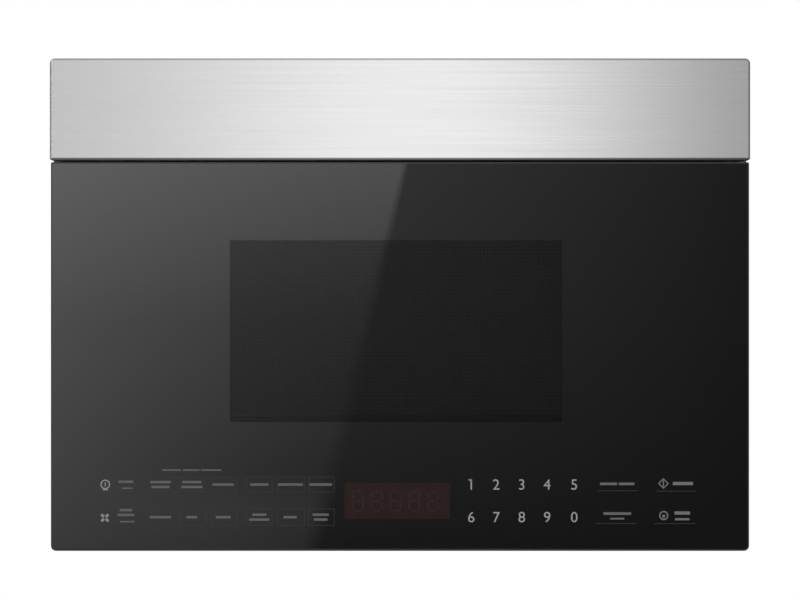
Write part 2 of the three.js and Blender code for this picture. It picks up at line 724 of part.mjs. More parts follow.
function charcoalFilter() {
  const depthSpan = [CHARCOAL_FRONT, CHARCOAL_FRONT + CHARCOAL_THICKNESS];
  const slab = box(around(0, CHARCOAL_WIDTH), depthSpan, [CHARCOAL_BOTTOM, CHARCOAL_TOP]);
  const pitch = (CHARCOAL_WIDTH - CHARCOAL_FRAME) / CHARCOAL_PANES;
  const panes = [];
  for (let index = 0; index < CHARCOAL_PANES; index += 1) {
    const x = (index - (CHARCOAL_PANES - 1) / 2) * pitch;
    const height = [CHARCOAL_BOTTOM + CHARCOAL_FRAME, CHARCOAL_TOP - CHARCOAL_FRAME];
    const width = around(x, pitch - CHARCOAL_FRAME);
    panes.push(box(width, [depthSpan[0] - 1, depthSpan[0] + CHARCOAL_POCKET], height));
    panes.push(box(width, [depthSpan[1] - CHARCOAL_POCKET, depthSpan[1] + 1], height));
  }
  return cut(slab, ...panes);
}

const evenCorners = (radius) => [radius, radius, radius, radius];

function latchSlot(depthSpan, height) {
  const width = HOOK_THICKNESS + 2 * SLOT_MARGIN;
  const bottom = height - HOOK_HEIGHT / 2 - HOOK_DROP - SLOT_MARGIN;
  const top = height + HOOK_HEIGHT / 2 + LATCH_TRAVEL + SLOT_MARGIN;
  return box(around(LATCH_X, width), depthSpan, [bottom, top]);
}

// Heights at the upper hinge are measured down from the door's top edge.
function hingeLevel(upper, [low, high]) {
  return upper ? [DOOR_TOP - high, DOOR_TOP - low] : [low, high];
}

function armSlot(upper) {
  return box(
    around(PIN_X, 2 * ARM_RADIUS + 2 * FIT),
    [-SHEET, 2 * SHEET],
    hingeLevel(upper, [ARM_START - FIT, ARM_START + ARM_THICKNESS + FIT]),
  );
}

function frontPlate() {
  const bottom = BASE_TOP + FIT;
  const top = BAND_BOTTOM - FIT;
  const wide = [-FITTED_HALF, FITTED_HALF];
  const face = box(wide, [0, SHEET], [bottom, top]);
  const topFlange = box(wide, [0, FLANGE], [top - SHEET, top]);
  const left = box([-FITTED_HALF, -FITTED_HALF + SHEET], [0, FLANGE], [bottom + FLANGE, top]);
  const right = box([FITTED_HALF - SHEET, FITTED_HALF], [0, FLANGE], [bottom + FLANGE, top]);
  const mouth = extrude(
    'y',
    roundedRectangle(MOUTH_WIDE, MOUTH_HIGH, evenCorners(MOUTH_CORNER)),
    [-SHEET, 2 * SHEET],
  );
  const slots = LATCH_HEIGHTS.map((height) => latchSlot([-SHEET, 2 * SHEET], height));
  return cut(union([face, topFlange, left, right]), mouth, armSlot(false), armSlot(true), ...slots);
}

function filterOpening(side) {
  const inner = FILTER_INNER_EDGE - RUNNING_GAP;
  const outer = FILTER_OUTER_EDGE + FIT;
  return box(
    mirrored(side, [inner, outer]),
    [FILTER_FRONT - RUNNING_GAP, FILTER_FRONT + FILTER_LENGTH + RUNNING_GAP],
    [0, BASE_TOP + SHEET],
  );
}

function intakeSlots(side) {
  const slots = [];
  for (let index = 0; index < INTAKE_SLOTS; index += 1) {
    const y = LAMP_FRONT + index * INTAKE_PITCH + INTAKE_INSET;
    const x = side * (FILTER_INNER_EDGE + INTAKE_SLOT_LENGTH / 2);
    slots.push(box(around(x, INTAKE_SLOT_LENGTH), around(y, INTAKE_SLOT_WIDTH), [0, BASE_TOP + SHEET]));
  }
  return slots;
}

function basePan() {
  const wide = [-FITTED_HALF, FITTED_HALF];
  const upright = [BASE_RISE, BASE_TOP + FLANGE];
  const floor = box(wide, [0, WRAP_REAR], [BASE_RISE, BASE_TOP]);
  const left = box([-FITTED_HALF, -FITTED_HALF + SHEET], [CAVITY_FRONT, WRAP_REAR], upright);
  const right = box([FITTED_HALF - SHEET, FITTED_HALF], [CAVITY_FRONT, WRAP_REAR], upright);
  const hingeSide = PIN_X + ARM_RADIUS + HINGE_CLEARANCE;
  const front = box([hingeSide, FITTED_HALF], [CAVITY_FRONT, CAVITY_FRONT + SHEET], upright);
  const rear = box(wide, [WRAP_REAR - SHEET, WRAP_REAR], upright);
  const lampHole = box(
    around(0, LAMP_WIDTH),
    [LAMP_FRONT, LAMP_FRONT + LAMP_LENGTH],
    [0, BASE_TOP + SHEET],
  );
  return cut(
    union([floor, left, right, front, rear]),
    lampHole,
    filterOpening(-1),
    filterOpening(1),
    ...intakeSlots(-1),
    ...intakeSlots(1),
  );
}

function cordGrommet() {
  const groove = CORD_HOLE - FIT;
  const lip = CORD_HOLE + GROMMET_LIP;
  const bottom = ROOF_UNDER - GROMMET_DEPTH;
  const top = HEIGHT - GROMMET_SINK;
  const profile = [
    [CORD_BORE, bottom],
    [lip, bottom],
    [lip, ROOF_UNDER - FIT],
    [groove, ROOF_UNDER - FIT],
    [groove, top],
    [CORD_BORE, top],
    [CORD_BORE, bottom],
  ];
  return turned(profile, [CORD_X, CORD_DEPTH]);
}

function lampLens() {
  const field = box(
    around(0, LAMP_WIDTH - 2 * FIT),
    around(LAMP_MIDDLE, LAMP_LENGTH - 2 * FIT),
    [BASE_RISE, BAY_FLOOR],
  );
  const lip = box(
    around(0, LAMP_WIDTH + 2 * LENS_LIP),
    around(LAMP_MIDDLE, LAMP_LENGTH + 2 * LENS_LIP),
    [BAY_FLOOR, BAY_FLOOR + LENS_THICKNESS],
  );
  return field.add(lip);
}

// A bulb lying in a holder that stands on the base pan behind the lens.
function cooktopLamp() {
  const axis = [LAMP_MIDDLE, BULB_HEIGHT];
  const holderStart = LAMP_WIDTH / 2 + HOLDER_GAP;
  const holder = box(
    [holderStart, holderStart + HOLDER_LENGTH],
    around(LAMP_MIDDLE, HOLDER_WIDTH),
    [BAY_FLOOR, BULB_HEIGHT + HOLDER_WIDTH / 2],
  );
  const neck = rod('x', axis, BULB_NECK, [BULB_LENGTH / 2 - 2, holderStart + 1], 10);
  const bulb = rod('x', axis, BULB_RADIUS, around(-0.5, BULB_LENGTH), 10);
  return union([holder, neck, bulb]);
}

// The tab lies on the base pan and the filter tips down about the ledge that carries it.
function greaseFilter(side) {
  const wide = mirrored(side, [FILTER_INNER_EDGE, FILTER_OUTER_EDGE]);
  const long = [FILTER_FRONT, FILTER_FRONT + FILTER_LENGTH];
  const high = [BASE_RISE, BASE_RISE + FILTER_THICKNESS];
  const slab = box(wide, long, high);
  const pocketWide = grow(wide, -FILTER_RIM);
  const pocketLong = grow(long, -FILTER_RIM);
  const lower = box(pocketWide, pocketLong, [high[0] - 1, high[0] + FILTER_POCKET]);
  const upper = box(pocketWide, pocketLong, [high[1] - FILTER_POCKET, high[1] + 1]);
  const tab = box(
    mirrored(side, [FILTER_OUTER_EDGE - 1, FILTER_OUTER_EDGE + FILTER_TAB]),
    grow(long, -TAB_INSET),
    [BAY_FLOOR, BAY_FLOOR + TAB_SHEET],
  );
  return cut(slab, lower, upper).add(tab);
}

piece(cabinet, 'cabinet_wrap', cabinetWrap(), paint());
piece(cabinet, 'rear_plate', rearPlate(), zinc());
piece(cabinet, 'blower_cover_plate', coverPlate(), zinc());
piece(cabinet, 'fascia_band', fasciaBand(), stainless());
piece(cabinet, 'vent_grille', ventGrille(), darkPlastic());
piece(cabinet, 'charcoal_filter', charcoalFilter(), finish(0x232323, 0.9, 0));
piece(cabinet, 'front_plate', frontPlate(), enamel());
piece(cabinet, 'base_pan', basePan(), paint());
piece(cabinet, 'cord_grommet', cordGrommet(), darkPlastic());
piece(cabinet, 'cooktop_lamp_lens', lampLens(), finish(0xe8e8e4, 0.2, 0));
piece(cabinet, 'cooktop_lamp', cooktopLamp(), finish(0xe9e4d6, 0.3, 0));
piece(cabinet, 'grease_filter_left', greaseFilter(-1), finish(0xb4b6b8, 0.4, 0.9));
piece(cabinet, 'grease_filter_right', greaseFilter(1), finish(0xb4b6b8, 0.4, 0.9));

// ---------------------------------------------------------------- oven

function perforations(wallX, [yMiddle, zMiddle], [columns, rows]) {
  const holes = [];
  for (let column = 0; column < columns; column += 1) {
    for (let row = 0; row < rows; row += 1) {
      const y = yMiddle + (column - (columns - 1) / 2) * PERFORATION_PITCH;
      const z = zMiddle + (row - (rows - 1) / 2) * PERFORATION_PITCH;
      holes.push(rod('x', [y, z], PERFORATION_RADIUS, around(wallX, 4 * SHEET), 6));
    }
  }
  return holes;
}

function ovenCavity() {
  const wide = [CAVITY_LEFT, CAVITY_RIGHT];
  const high = [CAVITY_FLOOR, CAVITY_TOP];
  const shell = extrude(
    'y',
    roundedRectangle(grow(wide, SHEET), grow(high, SHEET), evenCorners(CAVITY_CORNER + SHEET)),
    [CAVITY_FRONT, CAVITY_REAR + SHEET],
  );
  const flange = box(
    grow(wide, CAVITY_FLANGE),
    [CAVITY_FRONT, CAVITY_FRONT + SHEET],
    grow(high, CAVITY_FLANGE),
  );
  const room = extrude(
    'y',
    roundedRectangle(wide, high, evenCorners(CAVITY_CORNER)),
    [CAVITY_FRONT - SHEET, CAVITY_REAR],
  );
  const dishOutside = turned([
    [0, DISH_UNDER],
    [DISH_RADIUS - DISH_DRAFT + SHEET, DISH_UNDER],
    [DISH_RADIUS + SHEET, CAVITY_FLOOR - SHEET / 2],
    [0, CAVITY_FLOOR - SHEET / 2],
  ], TURN_CENTRE, DISH_SIDES);
  const dishInside = turned([
    [0, DISH_FLOOR],
    [DISH_RADIUS - DISH_DRAFT, DISH_FLOOR],
    [DISH_RADIUS, CAVITY_FLOOR],
    [DISH_RADIUS, CAVITY_FLOOR + SHEET],
    [0, CAVITY_FLOOR + SHEET],
  ], TURN_CENTRE, DISH_SIDES);
  const driveHole = rod('z', TURN_CENTRE, DRIVE_HOLE, [DISH_UNDER - SHEET, CAVITY_FLOOR], 16);
  const port = box(
    around(CAVITY_RIGHT, 4 * SHEET),
    around(GUIDE_Y, PORT_WIDTH),
    [GUIDE_BOTTOM + PORT_INSET, GUIDE_BOTTOM + GUIDE_HEIGHT - PORT_INSET],
  );
  return cut(
    union([shell, flange, dishOutside]),
    room,
    dishInside,
    driveHole,
    port,
    ...perforations(CAVITY_RIGHT, [LAMP_Y, LAMP_Z], [3, 3]),
    ...perforations(CAVITY_LEFT, [LAMP_Y, LAMP_Z], [4, 3]),
  );
}

function waveguide() {
  const long = [BAY_LEFT, BAY_LEFT + GUIDE_LENGTH];
  const wide = around(GUIDE_Y, GUIDE_WIDTH);
  const high = [GUIDE_BOTTOM, GUIDE_BOTTOM + GUIDE_HEIGHT];
  const shell = box(long, wide, high);
  const duct = box([long[0] - 1, long[1] - GUIDE_WALL], grow(wide, -GUIDE_WALL), grow(high, -GUIDE_WALL));
  const antennaHole = rod(
    'z',
    [MAGNETRON_X, GUIDE_Y],
    ANTENNA_RADIUS + ANTENNA_MARGIN,
    around(GUIDE_BOTTOM, 4),
    12,
  );
  return cut(shell, duct, antennaHole);
}

function waveguideCover() {
  const right = CAVITY_RIGHT - FIT;
  const sheet = box(
    [right - MICA, right],
    around(GUIDE_Y, PORT_WIDTH + 2 * MICA_OVERLAP),
    around(GUIDE_BOTTOM + GUIDE_HEIGHT / 2, GUIDE_HEIGHT - 2 * PORT_INSET + 2 * MICA_OVERLAP),
  );
  const topEdge = GUIDE_BOTTOM + GUIDE_HEIGHT - PORT_INSET + MICA_OVERLAP;
  const screwNotch = box([right - 2, right + 1], around(GUIDE_Y, 8), around(topEdge, 5));
  return cut(sheet, screwNotch);
}

// A U-shaped yoke round the anode, its stacked cooling fins and the filter box below.
function magnetron() {
  const top = GUIDE_BOTTOM - FIT;
  const bottom = top - MAGNETRON_HEIGHT;
  const wide = around(MAGNETRON_X, MAGNETRON_WIDTH);
  const long = around(GUIDE_Y, MAGNETRON_LENGTH);
  const filterTop = bottom + FILTER_BOX_HEIGHT;
  const yoke = cut(
    box(wide, around(GUIDE_Y, YOKE_LENGTH), [filterTop - YOKE_SHEET, top]),
    box(grow(wide, -YOKE_SHEET), grow(long, 1), [filterTop, top - YOKE_SHEET]),
  );
  const filterBox = box(grow(wide, -2 * YOKE_SHEET), long, [bottom, filterTop - 1]);
  const anode = rod('z', [MAGNETRON_X, GUIDE_Y], ANODE_RADIUS, [filterTop - 1, top - 1], 16);
  const antenna = rod('z', [MAGNETRON_X, GUIDE_Y], ANTENNA_RADIUS, [top - 1, top + ANTENNA_LENGTH], 12);
  const finPitch = (top - YOKE_SHEET - filterTop) / (MAGNETRON_FINS + 1);
  const fins = [];
  for (let index = 1; index <= MAGNETRON_FINS; index += 1) {
    const z = filterTop + index * finPitch;
    fins.push(box(grow(wide, -1), around(GUIDE_Y, FIN_LENGTH), around(z, 1)));
  }
  return union([yoke, filterBox, anode, antenna, ...fins]);
}

function lampCover() {
  const deep = [BAY_LEFT, BAY_LEFT + LAMP_BOX_REACH];
  const long = around(LAMP_Y, LAMP_BOX_WIDTH);
  const high = around(LAMP_Z, LAMP_BOX_HEIGHT);
  const shell = box(deep, long, high);
  const hollow = box([deep[0] - 1, deep[1] - SHEET], grow(long, -SHEET), grow(high, -SHEET));
  const hole = rod('x', [LAMP_Y, LAMP_Z], LAMP_BULB + 2, around(deep[1], 6), 12);
  return cut(shell, hollow, hole);
}

function cavityLamp() {
  const wall = BAY_LEFT + LAMP_BOX_REACH;
  const centre = [LAMP_Y, LAMP_Z];
  const bulb = rod('x', centre, LAMP_BULB, [wall - LAMP_COLLAR, wall - 4], 10);
  const neck = rod('x', centre, LAMP_BULB + 1.5, [wall - 5, wall + FIT + 1], 10);
  const collar = box(
    [wall + FIT, wall + FIT + LAMP_COLLAR_REACH],
    around(LAMP_Y, LAMP_COLLAR),
    around(LAMP_Z, LAMP_COLLAR),
  );
  return union([bulb, neck, collar]);
}

function thermalCutout() {
  const base = box(
    around(CUTOUT_X, CUTOUT_WIDTH),
    around(CUTOUT_Y, CUTOUT_LENGTH),
    [PLENUM_FLOOR, PLENUM_FLOOR + TERMINAL_SHEET],
  );
  const top = PLENUM_FLOOR + CUTOUT_HEIGHT;
  const body = rod('z', [CUTOUT_X, CUTOUT_Y], CUTOUT_RADIUS, [PLENUM_FLOOR + 1, top], 12);
  const bridgeSpan = [PLENUM_FLOOR + CUTOUT_HEIGHT / 2, top - 1];
  const bridge = box(around(CUTOUT_X, 2 * CUTOUT_RADIUS + 1), around(CUTOUT_Y, TERMINAL_WIDTH), bridgeSpan);
  const blades = BLADE_OFFSETS.map((offset) => box(
    around(CUTOUT_X + offset, 1),
    around(CUTOUT_Y, TERMINAL_WIDTH),
    [bridgeSpan[0], PLENUM_FLOOR + BLADE_TOP],
  ));
  return union([base, body, bridge, ...blades]);
}

function fanShroud() {
  const deep = [FAN_FRONT, FAN_FRONT + FAN_DEPTH];
  const mouthRadius = FAN_RADIUS + FAN_TIP_GAP;
  const frame = box([BAY_LEFT, BAY_LEFT + FAN_WIDTH], deep, around(FAN_Z, FAN_HEIGHT));
  const mouth = rod('y', [FAN_X, FAN_Z], mouthRadius, grow(deep, 1), 32);
  const spiderDeep = [deep[1] - SPIDER_DEPTH, deep[1]];
  const spiderSpan = 2 * mouthRadius + FAN_TIP_GAP;
  const spider = [
    box(around(FAN_X, SPIDER_WIDTH), spiderDeep, around(FAN_Z, spiderSpan)),
    box(around(FAN_X, spiderSpan), spiderDeep, around(FAN_Z, SPIDER_WIDTH)),
    rod('y', [FAN_X, FAN_Z], SPIDER_HUB, spiderDeep, 16),
  ];
  const shaftHole = rod('y', [FAN_X, FAN_Z], FAN_SHAFT + FIT, grow(deep, 1), 12);
  return cut(union([cut(frame, mouth), ...spider]), shaftHole);
}

function fanMotor() {
  const front = FAN_FRONT + FAN_DEPTH + FIT;
  const rear = front + FAN_BEARING_REACH;
  const stack = box(
    around(FAN_X, FAN_MOTOR_WIDTH),
    [front, front + FAN_MOTOR_DEPTH],
    around(FAN_Z + FAN_MOTOR_RISE, FAN_MOTOR_HEIGHT),
  );
  const coil = box(
    around(FAN_X, FAN_COIL_WIDTH),
    [front + 1, rear],
    around(FAN_Z + FAN_COIL_RISE, FAN_COIL_HEIGHT),
  );
  const bearing = rod('y', [FAN_X, FAN_Z], FAN_BEARING, [front + FAN_MOTOR_DEPTH - 1, rear], 16);
  const bore = rod('y', [FAN_X, FAN_Z], FAN_SHAFT + FIT, [front - 1, front + FAN_MOTOR_DEPTH - 3], 12);
  return cut(union([stack, coil, bearing]), bore);
}

// Drawn round its own shaft line, which the fan's group carries.
function fanBlade() {
  const hubFront = FAN_FRONT + 2;
  const hubRear = FAN_FRONT + FAN_DEPTH - SPIDER_DEPTH - 2;
  const hub = rod('y', [0, 0], FAN_HUB, [hubFront, hubRear], 16);
  const shaft = rod('y', [0, 0], FAN_SHAFT, [hubRear - 1, FAN_FRONT + FAN_DEPTH + 9], 12);
  const blades = [];
  for (let index = 0; index < FAN_BLADES; index += 1) {
    const root = FAN_HUB - 2;
    const blade = new THREE.BoxGeometry(FAN_RADIUS - root, FAN_BLADE_SHEET, FAN_BLADE_CHORD, 3, 1, 1);
    blade.rotateX(FAN_BLADE_TILT);
    blade.translate((FAN_RADIUS + root) / 2, (hubFront + hubRear) / 2, 0);
    blade.rotateY((index / FAN_BLADES) * Math.PI * 2);
    blades.push(solidOf(blade));
  }
  return union([hub, shaft, ...blades]);
}

const fan = new THREE.Group();
fan.position.set(FAN_X, 0, FAN_Z);
cabinet.add(fan);

piece(cabinet, 'oven_cavity', ovenCavity(), enamel());
piece(cabinet, 'waveguide', waveguide(), zinc());
piece(cabinet, 'waveguide_cover', waveguideCover(), finish(0xb9a98a, 0.6, 0));
piece(cabinet, 'magnetron', magnetron(), finish(0xa7a9ab, 0.4, 0.9));
piece(cabinet, 'lamp_cover', lampCover(), zinc());
piece(cabinet, 'cavity_lamp', cavityLamp(), finish(0xe9e4d6, 0.3, 0));
piece(cabinet, 'thermal_cutout', thermalCutout(), finish(0x2b2b2b, 0.5, 0));
piece(cabinet, 'fan_shroud', fanShroud(), darkPlastic());
piece(cabinet, 'fan_motor', fanMotor(), finish(0x6d6f72, 0.5, 0.7));
piece(fan, 'fan_blade', fanBlade(), palePlastic());

// ---------------------------------------------------------------- turntable

function dShaft(clearance, span) {
  const round = rod('z', [0, 0], SHAFT_RADIUS + clearance, span, 16);
  const flat = SHAFT_FLAT + clearance;
  return cut(round, box([flat, flat + SHAFT_RADIUS + 1], [-10, 10], grow(span, 1)));
}

function turntableMotor() {
  const can = rod('z', [0, 0], MOTOR_RADIUS, [MOTOR_TOP - MOTOR_HEIGHT, MOTOR_TOP], 24);
  const ears = box(
    around(0, 2 * (MOTOR_RADIUS + MOTOR_EAR_REACH)),
    around(0, MOTOR_EAR_WIDTH),
    [MOTOR_TOP - TERMINAL_SHEET, MOTOR_TOP],
  );
  const terminals = box(
    around(0, 14),
    [-MOTOR_RADIUS - 8, -MOTOR_RADIUS + 2],
    [MOTOR_TOP - 18, MOTOR_TOP - 10],
  );
  const bore = rod('z', [0, 0], SHAFT_RADIUS + FIT, [MOTOR_TOP - SHAFT_IN_MOTOR - 1, MOTOR_TOP + 1], 16);
  return cut(union([can, ears, terminals]), bore);
}

function turntableShaft() {
  return dShaft(0, [MOTOR_TOP - SHAFT_IN_MOTOR, TRAY_UNDER - 4]);
}

function turntableCoupler() {
  const span = [DISH_FLOOR + 4, TRAY_UNDER - FIT];
  const hub = rod('z', [0, 0], COUPLER_HUB, span, 20);
  const arms = [];
  for (let index = 0; index < COUPLER_ARMS; index += 1) {
    const arm = new THREE.BoxGeometry(COUPLER_REACH, COUPLER_ARM, COUPLER_ARM);
    arm.translate(COUPLER_REACH / 2, 0, span[1] - COUPLER_ARM / 2);
    arm.rotateZ((index / COUPLER_ARMS) * Math.PI * 2);
    arms.push(solidOf(arm));
  }
  return cut(union([hub, ...arms]), dShaft(FIT, [span[0] - 1, TRAY_UNDER - 3]));
}

// Three lugs under the middle stand between the coupler's arms, so that the tray can't slip.
function glassTray() {
  const top = TRAY_UNDER + TRAY_THICKNESS;
  const flatRadius = TRAY_RADIUS - TRAY_SLOPE;
  const dish = turned([
    [0, TRAY_UNDER],
    [flatRadius, TRAY_UNDER],
    [TRAY_RADIUS - 3, TRAY_UNDER + TRAY_RISE],
    [TRAY_RADIUS, TRAY_UNDER + TRAY_RISE + 3],
    [TRAY_RADIUS - 1.2, TRAY_UNDER + TRAY_RISE + 5],
    [TRAY_RADIUS - 4.5, TRAY_UNDER + TRAY_RISE + 4.5],
    [flatRadius - 2, top],
    [0, top],
  ], [0, 0], DISH_SIDES);
  const lugs = [];
  for (let index = 0; index < COUPLER_ARMS; index += 1) {
    const lug = new THREE.BoxGeometry(LUG_LENGTH, LUG_WIDTH, LUG_HEIGHT);
    lug.translate(COUPLER_REACH - LUG_LENGTH / 2, 0, TRAY_UNDER - LUG_HEIGHT / 2 + 0.75);
    lug.rotateZ(((index + 0.5) / COUPLER_ARMS) * Math.PI * 2);
    lugs.push(solidOf(lug));
  }
  return union([dish, ...lugs]);
}

const rollerAngle = (index) => Math.PI / 2 + (index * Math.PI * 2) / 3;

function axleStub(index) {
  const boss = box([RING_INNER + 2, WHEEL_INNER - FIT], around(0, AXLE_BOSS), around(AXLE_HEIGHT, AXLE_BOSS));
  const axle = rod('x', [0, AXLE_HEIGHT], AXLE_RADIUS, [WHEEL_INNER - 1, WHEEL_OUTER + FIT + 1], 12);
  const capSpan = [WHEEL_OUTER + FIT, WHEEL_OUTER + FIT + 1.5];
  const cap = rod('x', [0, AXLE_HEIGHT], AXLE_RADIUS + AXLE_CAP, capSpan, 12);
  return moved(union([boss, axle, cap]), new THREE.Matrix4().makeRotationZ(rollerAngle(index)));
}

function rollerRing() {
  const high = around(AXLE_HEIGHT, RING_THICKNESS);
  const band = turned([
    [RING_INNER, high[0]],
    [RING_OUTER, high[0]],
    [RING_OUTER, high[1]],
    [RING_INNER, high[1]],
    [RING_INNER, high[0]],
  ], [0, 0], DISH_SIDES);
  return union([band, axleStub(0), axleStub(1), axleStub(2)]);
}

// Drawn round the z axis, then laid along x on its own axle.
function rollerWheel() {
  const bore = AXLE_RADIUS + FIT;
  const half = ROLLER_WIDTH / 2;
  const wheel = turned([
    [bore, -half],
    [ROLLER_RADIUS - 1, -half],
    [ROLLER_RADIUS, -half + 1.5],
    [ROLLER_RADIUS, half - 1.5],
    [ROLLER_RADIUS - 1, half],
    [bore, half],
    [bore, -half],
  ], [0, 0], 18);
  return moved(wheel, new THREE.Matrix4().makeRotationY(Math.PI / 2));
}

const turntable = new THREE.Group();
turntable.position.set(...TURN_CENTRE, 0);
cabinet.add(turntable);

piece(turntable, 'turntable_motor', turntableMotor(), zinc());
piece(turntable, 'turntable_shaft', turntableShaft(), finish(0xc8c8c8, 0.3, 1));
piece(turntable, 'turntable_coupler', turntableCoupler(), palePlastic());
piece(turntable, 'glass_tray', glassTray(), finish(0xdfe8ea, 0.08, 0));
piece(turntable, 'roller_ring', rollerRing(), palePlastic());
for (let index = 0; index < 3; index += 1) {
  const wheelPlace = new THREE.Group();
  const angle = rollerAngle(index);
  wheelPlace.rotation.z = angle;
  turntable.add(wheelPlace);
  piece(wheelPlace, `roller_${index + 1}`, rollerWheel(), palePlastic(), [ROLLER_TRACK, 0, AXLE_HEIGHT]);
}

// ---------------------------------------------------------------- power bay

function transformerCore() {
  const foot = box(
    around(CORE_X, CORE_WIDTH),
    around(CORE_Y, CORE_STACK + 2 * CORE_FOOT_REACH),
    [BAY_FLOOR, BAY_FLOOR + CORE_FOOT],
  );
  const stack = box(around(CORE_X, CORE_WIDTH), around(CORE_Y, CORE_STACK), around(CORE_MIDDLE, CORE_HEIGHT));
  const windows = [-1, 1].map((side) => box(
    around(CORE_X + side * (CORE_LIMB + CORE_WINDOW) / 2, CORE_WINDOW),
    around(CORE_Y, CORE_STACK + 2),
    around(CORE_MIDDLE, CORE_WINDOW_HEIGHT),
  ));
  return cut(foot.add(stack), ...windows);
}

// Two coils with a spacer between them fill the windows on both sides of the middle limb.
function transformerWindings() {
  const coil = (inset, span) => {
    const half = CORE_LIMB / 2 + CORE_WINDOW - FIT - inset;
    const reach = CORE_STACK / 2 + FIT + COIL_OVERHANG - inset;
    const outline = roundedRectangle(
      around(CORE_X, 2 * half),
      around(CORE_Y, 2 * reach),
      evenCorners(COIL_CORNER),
    );
    return extrude('z', outline, span);
  };
  const half = CORE_WINDOW_HEIGHT / 2 - FIT;
  const limb = box(
    around(CORE_X, CORE_LIMB + 2 * FIT),
    around(CORE_Y, CORE_STACK + 2 * FIT),
    around(CORE_MIDDLE, CORE_HEIGHT),
  );
  const coils = union([
    coil(0, [CORE_MIDDLE - half, CORE_MIDDLE - COIL_SPACER + 1]),
    coil(2, [CORE_MIDDLE - COIL_SPACER, CORE_MIDDLE + COIL_SPACER]),
    coil(0, [CORE_MIDDLE + COIL_SPACER - 1, CORE_MIDDLE + half]),
  ]);
  return cut(coils, limb);
}

function capacitorOutline(extra) {
  const half = CAPACITOR_WIDTH / 2 + extra;
  const reach = CAPACITOR_LENGTH / 2 + extra;
  const radius = half - 0.5;
  return roundedRectangle(
    around(CAPACITOR_X, 2 * half),
    around(CAPACITOR_Y, 2 * reach),
    evenCorners(radius),
  );
}

function hvCapacitor() {
  const top = BAY_FLOOR + CAPACITOR_HEIGHT;
  const can = extrude('z', capacitorOutline(0), [BAY_FLOOR, top], 6);
  const terminals = TERMINAL_OFFSETS.map((offset) => box(
    around(CAPACITOR_X, TERMINAL_WIDTH),
    around(CAPACITOR_Y + offset, TERMINAL_SHEET),
    [top - 1, top + TERMINAL_HEIGHT],
  ));
  return union([can, ...terminals]);
}

function capacitorClamp() {
  const strap = [BAY_FLOOR + STRAP_LEVEL, BAY_FLOOR + STRAP_LEVEL + STRAP_WIDTH];
  const band = cut(
    extrude('z', capacitorOutline(FIT + STRAP_SHEET), strap, 6),
    extrude('z', capacitorOutline(FIT), grow(strap, 1), 6),
  );
  const side = CAPACITOR_X + CAPACITOR_WIDTH / 2 + FIT;
  const wide = around(CAPACITOR_Y, CLAMP_LEG);
  const leg = box([side, side + STRAP_SHEET], wide, [BAY_FLOOR, strap[1]]);
  const foot = box([side, side + CLAMP_FOOT], wide, [BAY_FLOOR, BAY_FLOOR + STRAP_SHEET]);
  return union([band, leg, foot]);
}

function hvDiode() {
  const y = CAPACITOR_Y + CAPACITOR_LENGTH / 2 + DIODE_LENGTH;
  const end = y + DIODE_LENGTH / 2;
  const body = rod('y', [CAPACITOR_X, BAY_FLOOR + DIODE_RISE], DIODE_RADIUS, around(y, DIODE_LENGTH), 10);
  const lug = box(
    around(CAPACITOR_X, DIODE_LUG),
    [end - 1, end + 13],
    [BAY_FLOOR, BAY_FLOOR + TERMINAL_SHEET],
  );
  const stem = box(around(CAPACITOR_X, 3), [end - 2, end + 1], [BAY_FLOOR, BAY_FLOOR + DIODE_RISE + 1]);
  return union([body, lug, stem]);
}

// A part that stands on a board is sunk into it a little, so that the two are one solid.
const IN_BOARD = 1;

// The board stands off the wrap's right side, with its relays and small transformer facing the oven.
function powerBoard() {
  const back = WRAP_INNER - FIT;
  const face = back - BOARD_STANDOFF - BOARD;
  const high = [BOARDS_TOP - POWER_BOARD_HEIGHT, BOARDS_TOP];
  const board = box([face, face + BOARD], POWER_BOARD_DEPTHS, high);
  const posts = [];
  for (const y of grow(POWER_BOARD_DEPTHS, -BOARD_POST_INSET)) {
    for (const z of grow(high, -BOARD_POST_INSET)) {
      posts.push(rod('x', [y, z], BOARD_POST, [face + BOARD - IN_BOARD, back], 8));
    }
  }
  const standing = ([tall, long, wide], y, belowTop) => (
    box([face - tall, face + IN_BOARD], around(y, long), around(BOARDS_TOP - belowTop, wide))
  );
  const relays = RELAY_DEPTHS.map((y) => standing(RELAY_SIZE, y, RELAY_BELOW_TOP));
  const coil = standing(BOARD_COIL_SIZE, BOARD_COIL_DEPTH, BOARD_COIL_BELOW_TOP);
  const connector = standing(CONNECTOR_SIZE, CONNECTOR_DEPTH, CONNECTOR_BELOW_TOP);
  return union([board, ...posts, ...relays, coil, connector]);
}

